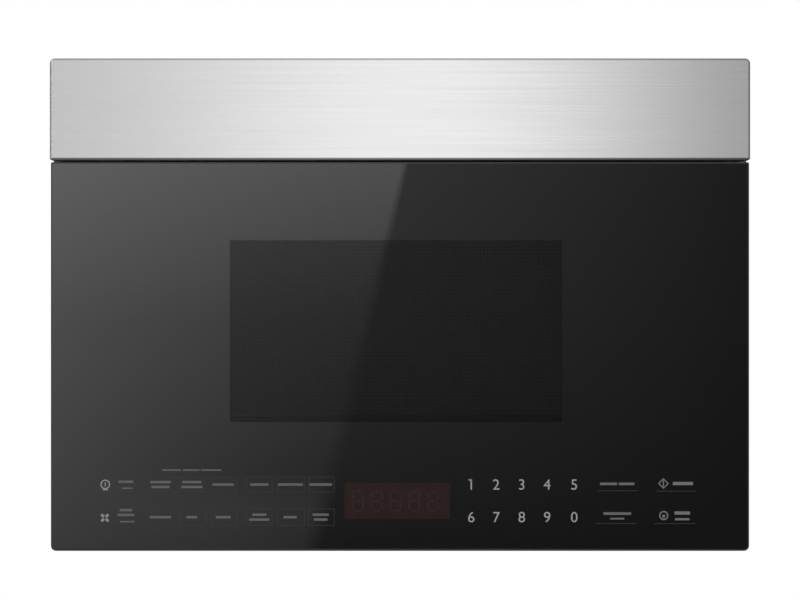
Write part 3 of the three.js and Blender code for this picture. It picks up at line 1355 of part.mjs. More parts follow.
function noiseFilterBoard() {
  const face = WRAP_REAR - BOARD_STANDOFF - BOARD;
  const middle = BAY_LEFT + BAY_WIDTH / 2 + NOISE_BOARD_OFFSET;
  const wide = around(middle, NOISE_BOARD_WIDTH);
  const high = [BOARDS_TOP - NOISE_BOARD_HEIGHT, BOARDS_TOP];
  const board = box(wide, [face, face + BOARD], high);
  const posts = [];
  for (const x of grow(wide, -BOARD_POST_INSET)) {
    for (const z of grow(high, -BOARD_POST_INSET)) {
      posts.push(rod('y', [x, z], BOARD_POST, [face + BOARD - IN_BOARD, WRAP_REAR], 8));
    }
  }
  const coilCentre = [middle - CHOKE_COIL_RADIUS, BOARDS_TOP - CHOKE_COIL_BELOW_TOP];
  const coilFace = face - CHOKE_COIL_DEPTH;
  const coil = rod('y', coilCentre, CHOKE_COIL_RADIUS, [coilFace, face + IN_BOARD], 14);
  const coilHole = rod('y', coilCentre, CHOKE_COIL_BORE, [coilFace - 1, face - IN_BOARD], 10);
  const standing = ([long, tall, wideness], x, belowTop) => (
    box(around(x, long), [face - tall, face + IN_BOARD], around(BOARDS_TOP - belowTop, wideness))
  );
  const boxCapacitor = standing(BOX_CAPACITOR_SIZE, middle + NOISE_BOARD_WIDTH / 4, BOX_CAPACITOR_BELOW_TOP);
  const fuse = standing(FUSE_SIZE, middle, FUSE_BELOW_TOP);
  return cut(union([board, ...posts, coil, boxCapacitor, fuse]), coilHole);
}

piece(cabinet, 'transformer_core', transformerCore(), finish(0x55585c, 0.5, 0.7));
piece(cabinet, 'transformer_windings', transformerWindings(), finish(0xa5552c, 0.4, 0.5));
piece(cabinet, 'hv_capacitor', hvCapacitor(), zinc());
piece(cabinet, 'capacitor_clamp', capacitorClamp(), zinc());
piece(cabinet, 'hv_diode', hvDiode(), darkPlastic());
piece(cabinet, 'power_board', powerBoard(), finish(0x5c4a22, 0.6, 0));
piece(cabinet, 'noise_filter_board', noiseFilterBoard(), finish(0x5c4a22, 0.6, 0));

// ---------------------------------------------------------------- hood blower

function drumBlade(index, span) {
  const start = (index / DRUM_BLADES) * Math.PI * 2;
  const side = (offset) => {
    const points = [];
    for (let step = 0; step <= BLADE_STEPS; step += 1) {
      const share = step / BLADE_STEPS;
      const radius = DRUM_RADIUS - BLADE_TIP_INSET - BLADE_DEPTH * (1 - share);
      const angle = start + BLADE_SWEEP * share * share + offset / radius;
      points.push(new THREE.Vector2(radius * Math.cos(angle), radius * Math.sin(angle)));
    }
    return points;
  };
  const outline = [...side(-BLADE_SHEET / 2), ...side(BLADE_SHEET / 2).reverse()];
  return extrude('x', new THREE.Shape(outline), span);
}

function blowerWheel(side) {
  const near = -DRUM_WIDTH / 2;
  const far = DRUM_WIDTH / 2;
  const disc = rod('x', [0, 0], DRUM_RADIUS, mirrored(side, [near, near + DRUM_PLATE]), DRUM_BLADES);
  const hub = rod('x', [0, 0], DRUM_HUB, mirrored(side, [near, near + DRUM_HUB_LENGTH]), 16);
  const ring = cut(
    rod('x', [0, 0], DRUM_RADIUS, mirrored(side, [far - DRUM_PLATE, far]), DRUM_BLADES),
    rod('x', [0, 0], DRUM_RADIUS - BLADE_DEPTH + 2, mirrored(side, [far - 3, far + 1]), DRUM_BLADES),
  );
  const blades = [];
  for (let index = 0; index < DRUM_BLADES; index += 1) {
    blades.push(drumBlade(index, mirrored(side, [near + 1, far - 0.5])));
  }
  const bore = rod('x', [0, 0], BLOWER_SHAFT_RADIUS + FIT, [near - 1, far], 12);
  return cut(union([disc, hub, ring, ...blades]), bore);
}

// The scroll widens from its tongue round to the top and blows forward.
function scrollOutline(inset) {
  const points = [];
  for (let step = 0; step <= SCROLL_STEPS; step += 1) {
    const share = step / SCROLL_STEPS;
    const angle = SCROLL_START + (SCROLL_END - SCROLL_START) * share;
    const radius = DRUM_RADIUS + SCROLL_GAP + SCROLL_GROWTH * share - inset;
    points.push(new THREE.Vector2(radius * Math.cos(angle), radius * Math.sin(angle)));
  }
  const outletEnd = -OUTLET_REACH - inset;
  const roof = points[points.length - 1].y;
  points.push(new THREE.Vector2(outletEnd, roof));
  points.push(new THREE.Vector2(outletEnd, points[0].y + 2 * inset));
  return new THREE.Shape(points);
}

function blowerHousing(side) {
  const [near, far] = grow(around(0, DRUM_WIDTH), SCROLL_SIDE_GAP);
  const shell = extrude('x', scrollOutline(0), [near, far]);
  const room = extrude('x', scrollOutline(SHEET), [near + SHEET, far - SHEET]);
  const inlet = rod('x', [0, 0], INLET_RADIUS, mirrored(side, [far - 3, far + 1]), 24);
  const shaftHole = rod('x', [0, 0], DRUM_HUB + 3, mirrored(side, [near - 1, near + 3]), 16);
  const feet = [[near, near + SHEET], [far - SHEET, far]].map((span) => (
    box(span, [-FOOT_HALF, FOOT_HALF], [BLOWER_FEET, -DRUM_RADIUS])
  ));
  const soles = [[near - FOOT_REACH, near + SHEET], [far - SHEET, far + FOOT_REACH]].map((span) => (
    box(span, [-FOOT_HALF, FOOT_HALF], [BLOWER_FEET, BLOWER_FEET + SHEET])
  ));
  return union([cut(shell, room, inlet, shaftHole), ...feet, ...soles]);
}

function blowerMotor() {
  const half = BLOWER_MOTOR_LENGTH / 2;
  const can = rod('x', [0, 0], BLOWER_MOTOR_RADIUS, [-half + MOTOR_CAP, half - MOTOR_CAP], 24);
  const bearings = rod('x', [0, 0], MOTOR_BEARING, [-half, half], 16);
  const legY = BLOWER_MOTOR_RADIUS * 0.85;
  const legs = [-1, 1].map((side) => (
    box([-MOTOR_SOLE, MOTOR_SOLE], around(side * legY, 2), [BLOWER_FEET, -BLOWER_MOTOR_RADIUS / 3])
  ));
  const sole = box([-MOTOR_SOLE, MOTOR_SOLE], grow([-legY, legY], 8), [BLOWER_FEET, BLOWER_FEET + 1.5]);
  const bore = rod('x', [0, 0], BLOWER_SHAFT_RADIUS + FIT, [-half - 1, half + 1], 12);
  return cut(union([can, bearings, ...legs, sole]), bore);
}

function blowerShaft() {
  const reach = DRUM_OFFSET - DRUM_WIDTH / 2 + SHAFT_IN_DRUM;
  return rod('x', [0, 0], BLOWER_SHAFT_RADIUS, [-reach, reach], 12);
}

const blower = new THREE.Group();
blower.position.set(0, BLOWER_DEPTH, BLOWER_HEIGHT);
cabinet.add(blower);

const galvanised = () => finish(0xa9adaf, 0.42, 0.9);
piece(blower, 'blower_motor', blowerMotor(), finish(0x3a3c3f, 0.5, 0.6));
piece(blower, 'blower_shaft', blowerShaft(), finish(0xc8c8c8, 0.3, 1));
piece(blower, 'blower_wheel_left', blowerWheel(-1), darkPlastic(), [-DRUM_OFFSET, 0, 0]);
piece(blower, 'blower_wheel_right', blowerWheel(1), darkPlastic(), [DRUM_OFFSET, 0, 0]);
piece(blower, 'blower_housing_left', blowerHousing(-1), galvanised(), [-DRUM_OFFSET, 0, 0]);
piece(blower, 'blower_housing_right', blowerHousing(1), galvanised(), [DRUM_OFFSET, 0, 0]);

// ---------------------------------------------------------------- door

function doorGlass() {
  const edge = FRAME_LIP + FIT;
  const outline = roundedRectangle(
    [-DOOR_HALF + edge, DOOR_HALF - edge],
    [edge, DOOR_TOP - edge],
    [DOOR_LOW_CORNER - edge, DOOR_LOW_CORNER - edge, 0, 0],
  );
  return extrude('y', outline, [0, GLASS]);
}

function doorOuter() {
  const plan = roundedRectangle(
    [-DOOR_HALF, DOOR_HALF],
    [0, DOOR_THICKNESS],
    [1, 1, REAR_CORNER, REAR_CORNER],
  );
  const face = roundedRectangle(
    [-DOOR_HALF, DOOR_HALF],
    [0, DOOR_TOP],
    [DOOR_LOW_CORNER, DOOR_LOW_CORNER, DOOR_HIGH_CORNER, DOOR_HIGH_CORNER],
  );
  return extrude('z', plan, [0, DOOR_TOP]).intersect(extrude('y', face, [0, DOOR_THICKNESS]));
}

function doorHollows() {
  const half = DOOR_HALF - DOOR_WALL;
  const glassSeat = roundedRectangle(
    [-DOOR_HALF + FRAME_LIP, DOOR_HALF - FRAME_LIP],
    [FRAME_LIP, DOOR_TOP - FRAME_LIP],
    [DOOR_LOW_CORNER - FRAME_LIP, DOOR_LOW_CORNER - FRAME_LIP, 0, 0],
  );
  const inside = roundedRectangle(
    [-half, half],
    [GLASS + FIT + DOOR_FLANGE, DOOR_THICKNESS - DOOR_FLANGE],
    [0, 0, REAR_CORNER - DOOR_WALL, REAR_CORNER - DOOR_WALL],
  );
  return [
    extrude('y', glassSeat, [-1, GLASS + FIT]),
    box(
      [-DOOR_HALF + GLASS_LAND, DOOR_HALF - GLASS_LAND],
      [GLASS, GLASS + 2 * DOOR_FLANGE],
      [GLASS_LAND, DOOR_TOP - GLASS_LAND],
    ),
    extrude('z', inside, [DOOR_WALL, DOOR_TOP - DOOR_WALL]),
    box(
      grow(MOUTH_WIDE, PANEL_REACH + FIT),
      [DOOR_THICKNESS - 2 * DOOR_FLANGE, DOOR_THICKNESS + 1],
      grow(MOUTH_HIGH, PANEL_REACH + FIT),
    ),
  ];
}

function hingeBoss(upper) {
  const half = PIN_SIDE_INSET - 3;
  const level = hingeLevel(upper, [BOSS_START, BOSS_START + BOSS_HEIGHT]);
  const block = box([-DOOR_HALF + 1, PIN_X + half], around(PIN_DOOR_Y, 2 * half), level);
  const bore = rod('z', [PIN_X, PIN_DOOR_Y], PIN_RADIUS + FIT, grow(level, 1), 16);
  return { block, bore };
}

// The fixed arm sweeps from the door's back round to its side as the door swings.
function armNotch(upper) {
  return box(
    [-DOOR_HALF - 1, PIN_X + ARM_RADIUS + 1.5],
    [PIN_DOOR_Y - ARM_RADIUS - ARM_SWING_GAP, DOOR_THICKNESS + 1],
    hingeLevel(upper, [DOOR_WALL, BOSS_START]),
  );
}

function barGuide(height, tall) {
  const block = box(around(LATCH_X, GUIDE_BLOCK), [BAR_FRONT - 3, DOOR_THICKNESS - 1], around(height, tall));
  const channel = box(
    around(LATCH_X, HOOK_THICKNESS + 2 * FIT),
    [BAR_FRONT - FIT, BAR_REAR + FIT],
    around(height, tall + 2),
  );
  return cut(block, channel);
}

function doorFrame() {
  const pullInner = DOOR_HALF - PULL_DEPTH;
  const pullCup = box(
    [pullInner - PULL_WALL, DOOR_HALF - 1],
    [PULL_FRONT - PULL_WALL, DOOR_THICKNESS - 1],
    grow(PULL_HIGH, PULL_WALL),
  );
  const pullHollow = extrude(
    'x',
    roundedRectangle(PULL_SPAN, PULL_HIGH, evenCorners(PULL_CORNER)),
    [pullInner, DOOR_HALF + 1],
  );
  const stopDeep = [BAR_FRONT - 3, DOOR_THICKNESS - 1];
  const stopWide = around(LATCH_X, GUIDE_BLOCK);
  const lowerStop = box(stopWide, stopDeep, [BAR_BOTTOM - BAR_STOP, BAR_BOTTOM - FIT]);
  const springTop = BAR_TOP + SPRING_LENGTH + 2 * FIT;
  const springSeat = box(stopWide, stopDeep, [springTop, springTop + BAR_STOP]);
  const [lowerHook, upperHook] = LATCH_HEIGHTS;
  const guideHeights = GUIDE_SHARES.map((share) => lowerHook + share * (upperHook - lowerHook));
  const bosses = [hingeBoss(false), hingeBoss(true)];
  const slots = LATCH_HEIGHTS.map((height) => (
    latchSlot([DOOR_THICKNESS - 2 * DOOR_FLANGE, DOOR_THICKNESS + 1], height)
  ));
  const shell = cut(doorOuter(), ...doorHollows());
  const body = union([
    shell,
    pullCup,
    lowerStop,
    springSeat,
    ...guideHeights.map((height) => barGuide(height, GUIDE_TALL)),
    ...bosses.map(({ block }) => block),
  ]);
  return cut(body, pullHollow, armNotch(false), armNotch(true), ...bosses.map(({ bore }) => bore), ...slots);
}

function windowHole(margin, depthSpan) {
  return box(
    around(WINDOW_X, WINDOW_WIDTH + 2 * margin),
    depthSpan,
    grow(WINDOW_HIGH, margin),
  );
}

function chokeSlots() {
  const deep = [PANEL_BACK - CHOKE_DEPTH / 2, PANEL_BACK + 1];
  const outerWide = grow(MOUTH_WIDE, PANEL_REACH + 1);
  const outerHigh = grow(MOUTH_HIGH, PANEL_REACH + 1);
  const slots = [];
  const places = ([low, high]) => {
    const count = Math.floor((high - low) / CHOKE_TOOTH_PITCH) - 1;
    return Array.from({ length: count }, (_, index) => (
      (low + high) / 2 + (index - (count - 1) / 2) * CHOKE_TOOTH_PITCH
    ));
  };
  for (const x of places(outerWide)) {
    slots.push(box(around(x, CHOKE_SLOT), deep, [outerHigh[0], outerHigh[0] + 1 + 1.5 * SHEET]));
    slots.push(box(around(x, CHOKE_SLOT), deep, [outerHigh[1] - 1 - 1.5 * SHEET, outerHigh[1]]));
  }
  for (const z of places(outerHigh)) {
    slots.push(box([outerWide[0], outerWide[0] + 1 + 1.5 * SHEET], deep, around(z, CHOKE_SLOT)));
    slots.push(box([outerWide[1] - 1 - 1.5 * SHEET, outerWide[1]], deep, around(z, CHOKE_SLOT)));
  }
  return slots;
}

// A steel pan whose comb-cut channel round the cavity mouth keeps the waves in.
function doorPanel() {
  const rim = box(
    grow(MOUTH_WIDE, PANEL_REACH),
    [PANEL_BACK - CHOKE_DEPTH, PANEL_BACK],
    grow(MOUTH_HIGH, PANEL_REACH),
  );
  const front = box(
    grow(MOUTH_WIDE, SEAL_OVERLAP - SHEET),
    [PANEL_BACK - CHOKE_DEPTH - 1, PANEL_BACK - SHEET],
    grow(MOUTH_HIGH, SEAL_OVERLAP - SHEET),
  );
  const channelDeep = [PANEL_BACK - CHOKE_DEPTH + SHEET, PANEL_BACK + 1];
  const channel = cut(
    box(grow(MOUTH_WIDE, PANEL_REACH - SHEET), channelDeep, grow(MOUTH_HIGH, PANEL_REACH - SHEET)),
    box(grow(MOUTH_WIDE, SEAL_OVERLAP), grow(channelDeep, 1), grow(MOUTH_HIGH, SEAL_OVERLAP)),
  );
  const earBack = DOOR_THICKNESS - DOOR_FLANGE - FIT;
  const ears = box(
    grow(MOUTH_WIDE, PANEL_REACH + PANEL_EAR),
    [earBack - SHEET, earBack],
    grow(MOUTH_HIGH, -PANEL_EAR_INSET),
  );
  const middle = box(grow(MOUTH_WIDE, PANEL_REACH - SHEET / 2), [0, DOOR_THICKNESS], [0, HEIGHT]);
  const earsOnly = cut(ears, middle);
  return cut(
    cut(rim, front, channel).add(earsOnly),
    windowHole(WINDOW_MARGIN, [0, DOOR_THICKNESS]),
    ...chokeSlots(),
  );
}

function chokeCover() {
  const deep = [PANEL_BACK + FIT, DOOR_THICKNESS];
  return cut(
    box(grow(MOUTH_WIDE, PANEL_REACH), deep, grow(MOUTH_HIGH, PANEL_REACH)),
    box(
      grow(MOUTH_WIDE, SEAL_OVERLAP - COVER_RIM),
      grow(deep, 1),
      grow(MOUTH_HIGH, SEAL_OVERLAP - COVER_RIM),
    ),
  );
}

function touchBoard() {
  const front = GLASS + FIT;
  const back = front + BOARD;
  const board = box(KEYS_WIDE, [front, back], KEYS_HIGH);
  const displayHole = box(
    around(DISPLAY_X, DISPLAY_WIDTH + 2 * FIT),
    [GLASS, GLASS + DISPLAY_BODY],
    around(DISPLAY_Z, DISPLAY_HEIGHT + 2 * FIT),
  );
  const [low, high] = KEYS_HIGH;
  const level = (low + high) / 2;
  const chip = box(around(CHIP_X, CHIP_SIDE), [back - 0.5, back + CHIP_HEIGHT], around(level, CHIP_SIDE));
  const socket = box(
    around(SOCKET_X, SOCKET_WIDTH),
    [back - 0.5, back + SOCKET_HEIGHT],
    around(level, SOCKET_SIDE),
  );
  return cut(union([board, chip, socket]), displayHole);
}

function displayModule() {
  const front = GLASS + FIT;
  const bodyFront = front + BOARD + FIT;
  const wide = around(DISPLAY_X, DISPLAY_WIDTH);
  const high = around(DISPLAY_Z, DISPLAY_HEIGHT);
  const lens = box(wide, [front, bodyFront + 1], high);
  const body = box(grow(wide, DISPLAY_BODY_RIM), [bodyFront, bodyFront + DISPLAY_BODY], grow(high, 4));
  return lens.add(body);
}

function latchHook(height) {
  const low = height - HOOK_HEIGHT / 2;
  const high = height + HOOK_HEIGHT / 2;
  const outline = new THREE.Shape([
    new THREE.Vector2(BAR_REAR - 2, low),
    new THREE.Vector2(HOOK_NECK, low),
    new THREE.Vector2(HOOK_NECK, low - HOOK_DROP),
    new THREE.Vector2(HOOK_NECK + 3, low - HOOK_DROP),
    new THREE.Vector2(HOOK_TIP, height - 2),
    new THREE.Vector2(HOOK_TIP, height + 4),
    new THREE.Vector2(HOOK_TIP - 3, high),
    new THREE.Vector2(BAR_REAR - 2, high),
  ]);
  return extrude('x', outline, around(LATCH_X, HOOK_THICKNESS));
}

function latchBar() {
  const bar = box(around(LATCH_X, HOOK_THICKNESS), [BAR_FRONT, BAR_REAR], [BAR_BOTTOM, BAR_TOP]);
  return union([bar, ...LATCH_HEIGHTS.map(latchHook)]);
}

class SpringLine extends THREE.Curve {
  getPoint(share) {
    const angle = share * SPRING_TURNS * Math.PI * 2;
    const radius = SPRING_RADIUS - SPRING_WIRE;
    const climb = SPRING_WIRE + share * (SPRING_LENGTH - 2 * SPRING_WIRE);
    return new THREE.Vector3(radius * Math.cos(angle), radius * Math.sin(angle), climb);
  }
}

function latchSpring() {
  const wire = new THREE.Shape();
  wire.absarc(0, 0, SPRING_WIRE, 0, Math.PI * 2, false);
  return solidOf(new THREE.ExtrudeGeometry(wire, {
    steps: SPRING_TURNS * TURN_STEPS,
    curveSegments: 2,
    extrudePath: new SpringLine(),
  }));
}

// An arm reaches out through the front plate and its leg lies behind the plate.
function hingeBracket(upper) {
  const legSpan = hingeLevel(upper, [ARM_START, ARM_START + BRACKET_LEG]);
  const legFront = SHEET + FIT;
  const leg = box(
    [PIN_X - ARM_RADIUS, PIN_X + ARM_RADIUS + ARM_SWING_GAP],
    [legFront, legFront + BRACKET_SHEET],
    legSpan,
  );
  const armSpan = hingeLevel(upper, [ARM_START, ARM_START + ARM_THICKNESS]);
  const arm = box(around(PIN_X, 2 * ARM_RADIUS), [PIN_CASE_Y, legFront + 1], armSpan);
  const nose = rod('z', [PIN_X, PIN_CASE_Y], ARM_RADIUS, armSpan, 20);
  const pinSpan = hingeLevel(upper, [ARM_START + 1, BOSS_START + PIN_REACH]);
  const pin = rod('z', [PIN_X, PIN_CASE_Y], PIN_RADIUS, pinSpan, 16);
  return union([leg, arm, nose, pin]);
}

function latchBoard() {
  const sideWall = LATCH_X + SWITCH_WIDTH / 2 + FIT;
  const high = grow(LATCH_HEIGHTS, LATCH_BOARD_OVERRUN);
  const front = SHEET + FIT;
  const back = front + LATCH_BOARD_SHEET;
  const wallEnd = sideWall + LATCH_BOARD_SHEET;
  const base = box([LATCH_X - LATCH_BOARD_REACH, wallEnd], [front, back], high);
  const wall = box([sideWall, wallEnd], [front, SWITCH_FRONT + SWITCH_LENGTH + 3], high);
  const ledges = LATCH_HEIGHTS.map((height) => box(
    [LATCH_X - HOOK_THICKNESS, sideWall + 1],
    [front + 1, NECK_CASE_Y - 2 * FIT],
    [height - HOOK_HEIGHT / 2 - LEDGE_HEIGHT, height - HOOK_HEIGHT / 2 - FIT],
  ));
  const slots = LATCH_HEIGHTS.map((height) => cut(
    latchSlot([0, back + FIT], height),
    ...ledges,
  ));
  return cut(union([base, wall, ...ledges]), ...slots);
}

function microswitch(x, height) {
  const body = box(
    around(x, SWITCH_WIDTH),
    [SWITCH_FRONT, SWITCH_FRONT + SWITCH_LENGTH],
    around(height, SWITCH_HEIGHT),
  );
  const terminals = [-8, 8].map((offset) => box(
    around(x, 4),
    [SWITCH_FRONT + SWITCH_LENGTH - 1, SWITCH_FRONT + SWITCH_LENGTH + 8],
    around(height + offset, 0.8),
  ));
  return union([body, ...terminals]);
}

function pressedSwitch(height) {
  const button = rod('y', [LATCH_X, height - 0.5], BUTTON_RADIUS, [TIP_CASE_Y + FIT, SWITCH_FRONT + 1], 8);
  return microswitch(LATCH_X, height).add(button);
}

function leverSwitch(height) {
  const x = LATCH_X - SWITCH_WIDTH - FIT;
  const front = TIP_CASE_Y + FIT;
  const level = [height + 1.5, height + 4];
  const stem = box([x - 2, x + 1], [front, SWITCH_FRONT + 1], level);
  const lever = box([x - 2, LATCH_X + 1], [front, front + 0.8], level);
  return union([microswitch(x, height), stem, lever]);
}

const screen = windowHole(SCREEN_MARGIN, [SCREEN_BACK - SCREEN_SHEET, SCREEN_BACK]);
const innerWindow = windowHole(SCREEN_MARGIN, [PANEL_BACK + FIT, DOOR_THICKNESS - INNER_WINDOW_INSET]);
const springSeat = [LATCH_X, (BAR_FRONT + BAR_REAR) / 2, BAR_TOP + FIT];
piece(door, 'door_glass', doorGlass(), finish(0x0b0b0c, 0.06, 0));
piece(door, 'door_frame', doorFrame(), darkPlastic());
piece(door, 'door_panel', doorPanel(), finish(0x3c3d3f, 0.4, 0.4));
piece(door, 'door_screen', screen, finish(0x26282a, 0.4, 0.7));
piece(door, 'inner_window', innerWindow, finish(0xd7dcde, 0.1, 0));
piece(door, 'choke_cover', chokeCover(), finish(0x2c2c2d, 0.5, 0));
piece(door, 'touch_board', touchBoard(), finish(0x1c3a2a, 0.6, 0));
piece(door, 'display_module', displayModule(), finish(0x2b1512, 0.3, 0));
piece(door, 'latch_bar', latchBar(), palePlastic());
piece(door, 'latch_spring', latchSpring(), finish(0xbdbdbd, 0.3, 1), springSeat);

piece(cabinet, 'hinge_bracket_lower', hingeBracket(false), zinc());
piece(cabinet, 'hinge_bracket_upper', hingeBracket(true), zinc());
piece(cabinet, 'latch_board', latchBoard(), palePlastic());
piece(cabinet, 'primary_switch', pressedSwitch(LATCH_HEIGHTS[1]), darkPlastic());
piece(cabinet, 'secondary_switch', pressedSwitch(LATCH_HEIGHTS[0]), darkPlastic());
piece(cabinet, 'monitor_switch', leverSwitch(LATCH_HEIGHTS[0]), darkPlastic());

export default microwave;
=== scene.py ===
# An over-the-range microwave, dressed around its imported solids. Sizes are in metres.
import math

import bmesh
import bpy
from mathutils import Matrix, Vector


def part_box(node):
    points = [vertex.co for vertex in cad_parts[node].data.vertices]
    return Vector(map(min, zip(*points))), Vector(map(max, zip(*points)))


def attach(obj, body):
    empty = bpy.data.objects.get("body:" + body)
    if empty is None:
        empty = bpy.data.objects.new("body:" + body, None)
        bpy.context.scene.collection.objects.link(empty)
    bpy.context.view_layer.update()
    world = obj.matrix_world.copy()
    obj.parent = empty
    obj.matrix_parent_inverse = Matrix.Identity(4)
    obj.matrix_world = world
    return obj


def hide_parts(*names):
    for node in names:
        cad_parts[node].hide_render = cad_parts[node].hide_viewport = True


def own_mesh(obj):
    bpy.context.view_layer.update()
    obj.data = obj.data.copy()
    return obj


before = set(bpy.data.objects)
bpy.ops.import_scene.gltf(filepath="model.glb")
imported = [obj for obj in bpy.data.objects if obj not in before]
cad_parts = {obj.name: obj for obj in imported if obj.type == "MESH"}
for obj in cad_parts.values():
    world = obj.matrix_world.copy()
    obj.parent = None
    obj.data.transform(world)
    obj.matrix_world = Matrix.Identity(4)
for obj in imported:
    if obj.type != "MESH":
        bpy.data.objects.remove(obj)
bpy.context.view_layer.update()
bpy.ops.object.select_all(action="DESELECT")

# -------------------- the camera
FRONT = -0.201
CAMERA_Y = -4.0
CAMERA_HEIGHT = 0.217
VIEW_WIDTH = 0.6919
SENSOR = 36.0
FARTHEST_SEEN = 100


def add_camera():
    """A level camera straight ahead of the door, whose frame is VIEW_WIDTH wide at the front."""
    bpy.ops.object.camera_add(location=(0, CAMERA_Y, CAMERA_HEIGHT), rotation=(math.pi / 2, 0, 0))
    camera = bpy.context.object
    camera.data.sensor_width = SENSOR
    camera.data.lens = SENSOR * (FRONT - CAMERA_Y) / VIEW_WIDTH
    camera.data.clip_end = FARTHEST_SEEN
    bpy.context.scene.camera = camera


# -------------------- shader building
NOISE_RANGE = (0.3, 0.7)
FULL_RANGE = (0, 1)


def new_material(name):
    material = bpy.data.materials.new(name)
    material.use_nodes = True
    material.node_tree.nodes.clear()
    return material, material.node_tree


def feed(tree, socket, value):
    """Sets a socket to a value, or links another node's output to it."""
    if isinstance(value, bpy.types.NodeSocket):
        tree.links.new(value, socket)
    else:
        socket.default_value = value


def node(tree, kind, *values, **settings):
    """A shader node whose first sockets are fed the values, and whose named sockets and settings are set."""
    made = tree.nodes.new("ShaderNode" + kind)
    for name, value in settings.items():
        socket = made.inputs.get(name.replace("_", " "))
        if socket is None:
            setattr(made, name, value)
        else:
            feed(tree, socket, value)
    for socket, value in zip(made.inputs, values):
        feed(tree, socket, value)
    return made


def math_node(tree, operation, *values, clamp=False):
    return node(tree, "Math", *values, operation=operation, use_clamp=clamp).outputs[0]


def times(tree, first, second):
    return math_node(tree, "MULTIPLY", first, second)


def minus(tree, first, second):
    return math_node(tree, "SUBTRACT", first, second)


def line(tree, value, slope, start):
    """A straight line: the value times the slope, and the start added."""
    return math_node(tree, "MULTIPLY_ADD", value, slope, start)


def blended(tree, factor, first, second):
    """The first value where the factor is 0 and the second where it is 1."""
    return node(tree, "Mix", Factor=factor, A=first, B=second).outputs["Result"]


def split(tree, vector, kind="SeparateXYZ"):
    return node(tree, kind, vector).outputs


def own_place(tree):
    return node(tree, "TexCoord").outputs["Object"]


def rescaled(tree, vector, scale, shift=(0, 0, 0)):
    return node(tree, "Mapping", vector, shift, (0, 0, 0), scale).outputs["Vector"]


def stretched(tree, scale=(1, 1, 1)):
    """The piece's own coordinates, stretched by scale along x, y and z."""
    return rescaled(tree, own_place(tree), scale)


def noise(tree, vector, scale, detail=3.0, distortion=0.0):
    made = node(tree, "TexNoise", vector, Scale=scale, Detail=detail, Distortion=distortion)
    return made.outputs["Fac"]


def cells(tree, vector, scale, output="Distance"):
    return node(tree, "TexVoronoi", vector, Scale=scale).outputs[output]


def cell_levels(tree, vector, scale):
    """Three random levels, each the same all over one cell."""
    return split(tree, cells(tree, vector, scale, "Color"), "SeparateColor")


def spread(tree, value, low, high, source=NOISE_RANGE):
    """The value, carried over from its source range to the one from low to high."""
    return node(tree, "MapRange", value, *source, low, high).outputs["Result"]


def around(tree, value, middle, by):
    return spread(tree, value, middle - by, middle + by)


def shade_between(tree, value, dark, light, source=NOISE_RANGE):
    made = node(tree, "ValToRGB", value)
    for stop, position, colour in zip(made.color_ramp.elements, source, (dark, light)):
        stop.position = position
        stop.color = (*colour, 1)
    return made.outputs["Color"]


def mottled(tree, value, colour, by, source=NOISE_RANGE):
    """The colour, darker and lighter by this share of itself."""
    dark = [c * (1 - by) for c in colour]
    light = [min(1.0, c * (1 + by)) for c in colour]
    return shade_between(tree, value, dark, light, source)


def relief(tree, height, strength, distance):
    return node(tree, "Bump", Strength=strength, Distance=distance, Height=height).outputs["Normal"]


def surfaced(material, **sockets):
    """Gives a material the surface shader, with these sockets set or linked."""
    shader = node(material.node_tree, "BsdfPrincipled", **sockets)
    node(material.node_tree, "OutputMaterial", shader.outputs["BSDF"])
    return material


def clear_coat(reflectance):
    """Sockets for a mirror-smooth coat that reflects this share of the light head on."""
    root = math.sqrt(reflectance)
    return {"Coat_Weight": 1.0, "Coat_Roughness": 0.0, "Coat_IOR": (1 + root) / (1 - root)}


def grey(level):
    return (level, level, level)


# -------------------- finishes
BRUSHING = (1, 0.15, 0)
BROAD_GRAIN = (2.5, 160, 160)
FINE_SHARE = 0.7
SIDEWAYS = 0.7
# Painted shade at the band's bends: the colour they darken towards, the depth in front of which it is
# painted, and for each bend where it sets in and how far it goes.
BEND_SHADE_COLOUR = (0.05, 0.05, 0.052)
HEM_DEPTH = -0.1985
LOWER_HEM, LOWER_SHADE = (0.3398, 0.3403), 0.8
UPPER_BEND, UPPER_SHADE = (0.424, 0.4252), 0.5
SIDE_BEND, SIDE_SHADE = (0.3008, 0.3022), 0.55
# Painted shade along the window's foot: where it sets in on z, and the share of the tint left there.
WINDOW_FOOT, FOOT_SHADE = (0.1168, 0.1178), 0.35
# A Mix node's colour sockets share their names with its number sockets, so they go by number.
COLOUR_A, COLOUR_B, COLOUR_OUT = 6, 7, 2


def painted_bend_shade(tree):
    """Painted shade: how far the sheet has turned away from the front, where the colour of the band's bends
    is darkened to stand in for the shade there.
    """
    x, y, z = split(tree, own_place(tree))
    below = spread(tree, z, LOWER_SHADE, 0.0, LOWER_HEM)
    above = spread(tree, z, 0.0, UPPER_SHADE, UPPER_BEND)
    aside = spread(tree, math_node(tree, "ABSOLUTE", x), 0.0, SIDE_SHADE, SIDE_BEND)
    most = math_node(tree, "MAXIMUM", below, math_node(tree, "MAXIMUM", above, aside))
    return times(tree, most, math_node(tree, "LESS_THAN", y, HEM_DEPTH))


def brushed_place(tree, scale):
    """Coordinates stretched along the brushing, which follows the sheet round at the band's two ends."""
    place = node(tree, "TexCoord")
    facing = math_node(tree, "ABSOLUTE", split(tree, place.outputs["Normal"])[0])
    at_end = math_node(tree, "GREATER_THAN", facing, SIDEWAYS)
    x, y, z = split(tree, place.outputs["Object"])
    depth = times(tree, y, minus(tree, 1.0, at_end))
    turned = node(tree, "CombineXYZ", line(tree, y, at_end, x), depth, z)
    return rescaled(tree, turned.outputs[0], scale)


